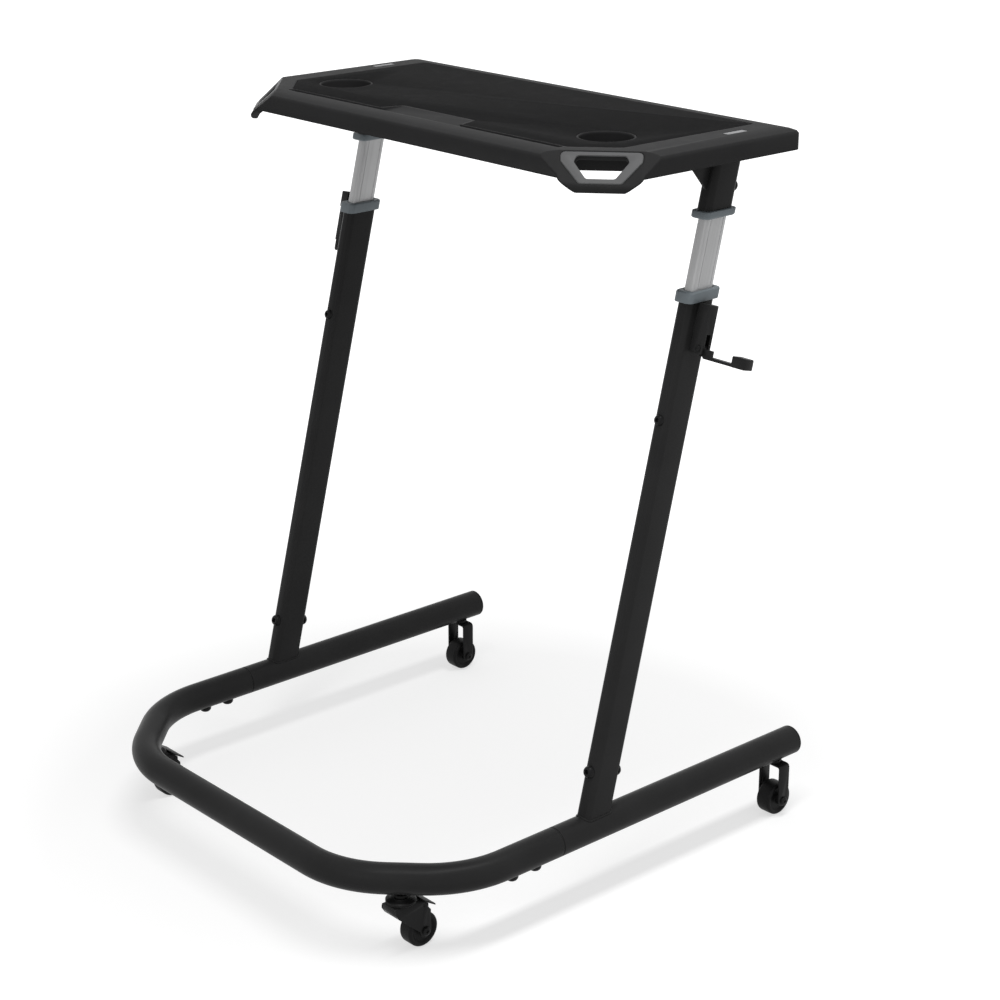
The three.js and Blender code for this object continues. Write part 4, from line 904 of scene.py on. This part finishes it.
def desk_mat():
    """The mat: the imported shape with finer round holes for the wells."""
    mat = clean_copy("desk_mat")
    for x in (CUP[0], -CUP[0]):
        well = turned("well", [(CUP_RADIUS, -0.010), (CUP_RADIUS, 0.010)], 128)
        cut_out(mat, moved(well, BASE @ DESK @ Matrix.Translation((x, CUP[1], 0))))
    round_edges(mat, 0.0005, 40)
    settle(mat, "desk_mat_finished", "desk", "mat", ["desk_mat"], angle=30)


def cup_liner():
    """A cup well with a rounded lip, a coved floor, two fine rings and a square flange under the mat."""
    outer = CUP_RADIUS - 0.0003
    inner = outer - 0.003
    lip = 0.0015
    floor = -0.023
    profile = [(0.004, floor - 0.003), (outer - 0.001, floor - 0.003), (outer, floor - 0.002),
               (outer, -0.0014),
               *arc(outer - lip, -lip, lip, 10, 90, 4), *arc(inner + lip, -lip, lip, 90, 170, 4),
               (inner, -0.003), (inner - 0.0006, floor + 0.004),
               *arc(inner - 0.0036, floor + 0.003, 0.003, 0, -90)]
    for ring in (0.0262, 0.0162):
        profile += [(ring, floor), (ring - 0.0004, floor + 0.0005), (ring - 0.0012, floor + 0.0005),
                    (ring - 0.0016, floor)]
    profile.append((0.004, floor))
    half = 0.047
    flange = block("flange", (-half, -half, -0.0043), (half, half, -0.0026), 0.0004)
    cut_out(flange, turned("bore", [(outer - 0.001, -0.010), (outer - 0.001, 0.010)], 128))
    pair(joined("liner", turned("cup", profile, 128), flange), "cup_liner", "desk", "desk_plastic",
         DESK @ Matrix.Translation((CUP[0], CUP[1], 0)))


def badges():
    """Bare plates let into the side rims."""
    (x, y), (half_x, half_y) = BADGE, BADGE_HALF
    badge = block("badge", (x - half_x, y - half_y, BADGE_BED), (x + half_x, y + half_y, -0.0001), 0.00015)
    pair(badge, "rim_badge", "desk", "silver", DESK, replace=False, finish="badge")


front_rail()
foot_tube()
foot_cap()
post_tube()
inner_tube()
collar("post_collar", "frame", COLLAR_LOW, COLLAR_BEVEL_TOP, True)
collar("socket_collar", "desk", SOCKET_COLLAR, SOCKET_COLLAR_TOP, False)
bolts()
lever_pin()
socket_bracket()
plate_screws()
wheels()
axles()
caster_stem()
fork_nose()
desktop()
desk_mat()
cup_liner()
badges()
pair_of_copies("handle_bezel", "desk", "bezel", 0.0004)
pair_of_copies("lock_housing", "frame", "frame", 0.0003)
pair_of_copies("lock_lever", "lever", "black_plastic", 0.0005)
pair_of_copies("rear_fork", "frame", "hardware", 0.0003, widen=1.3)
pair_of_copies("front_fork", "caster", "hardware", 0.0003)
pair_of_copies("brake_pedal", "pedal", "black_plastic", 0.0004)

# CAD nodes that stay in the picture
for name, cad_node in frame["nodes"].items():
    slot = {"inner_glide": "black_plastic", "clamp_shoe": "hardware"}.get(name.rsplit("_", 1)[0])
    if slot:
        cad_node.data.materials.clear()
        cad_node.data.materials.append(FINISHES[slot])


# Studio

def seen_share(tree):
    """1 for what the camera sees itself, in a reflection or through glass, and 0 for the light."""
    path = node(tree, "ShaderNodeLightPath")
    seen = combined(tree, "ADD", path.outputs["Is Camera Ray"], path.outputs["Is Glossy Ray"], True)
    return combined(tree, "ADD", seen, path.outputs["Is Transmission Ray"], True)


def floor():
    """A pale floor that takes the object's shadow near it and is plain white further out."""
    bpy.ops.object.select_all(action="DESELECT")
    bpy.ops.mesh.primitive_plane_add(size=60)
    ground = bpy.context.active_object
    ground.name = "studio_floor"
    material = bpy.data.materials.new("studio_floor")
    material.use_nodes = True
    tree = material.node_tree
    tree.nodes.clear()
    output = tree.nodes.new("ShaderNodeOutputMaterial")
    matt = node(tree, "ShaderNodeBsdfDiffuse", {"Color": (0.9, 0.9, 0.9, 1)})
    white = node(tree, "ShaderNodeEmission", {"Color": (1, 1, 1, 1), "Strength": FLOOR_WHITE})
    place = node(tree, "ShaderNodeTexCoord").outputs["Object"]
    away = node(tree, "ShaderNodeVectorMath", {0: place}, operation="LENGTH").outputs["Value"]
    plain = spread(tree, away, FLOOR_NEAR, FLOOR_FAR, FLOOR_NEAR_SHARE, 1.0)
    mix = node(tree, "ShaderNodeMixShader", {0: combined(tree, "MULTIPLY", seen_share(tree), plain),
                                             1: matt.outputs[0], 2: white.outputs[0]})
    tree.links.new(mix.outputs[0], output.inputs["Surface"])
    ground.data.materials.append(material)


def lamp(name, place, turn, size, energy):
    """A soft box. Its turn is in degrees from pointing straight down."""
    data = bpy.data.lights.new(name, "AREA")
    data.shape = "RECTANGLE"
    data.size, data.size_y = size
    data.energy = energy
    light = bpy.data.objects.new(name, data)
    bpy.context.scene.collection.objects.link(light)
    light.location = place
    light.rotation_euler = [math.radians(angle) for angle in turn]


def world():
    """Soft light from all round, and plain white where it is seen."""
    made = bpy.data.worlds.new("studio")
    bpy.context.scene.world = made
    made.use_nodes = True
    tree = made.node_tree
    tree.nodes.clear()
    output = tree.nodes.new("ShaderNodeOutputWorld")
    soft = node(tree, "ShaderNodeBackground", {"Color": (1, 1, 1, 1), "Strength": WORLD_SOFT})
    white = node(tree, "ShaderNodeBackground", {"Color": (1, 1, 1, 1), "Strength": 1.0})
    mix = node(tree, "ShaderNodeMixShader", {0: seen_share(tree), 1: soft.outputs[0], 2: white.outputs[0]})
    tree.links.new(mix.outputs[0], output.inputs["Surface"])


floor()
world()
lamp("key", (0.8, -0.1, 3.6), (0, 0, 0), (0.55, 3.2), KEY_POWER)
lamp("front_fill", (1.2, -3.4, 2.2), (64, 0, 19), (2.0, 2.0), FILL_POWER)

camera = bpy.data.objects.new("camera", bpy.data.cameras.new("camera"))
bpy.context.scene.collection.objects.link(camera)
camera.location = (2.35611, -2.00927, 1.61997)
camera.rotation_euler = (math.radians(70.1), 0, math.radians(48.2))
camera.data.lens = 82.35
camera.data.sensor_width = 36
bpy.context.scene.camera = camera
bpy.context.scene.view_settings.view_transform = "Standard"
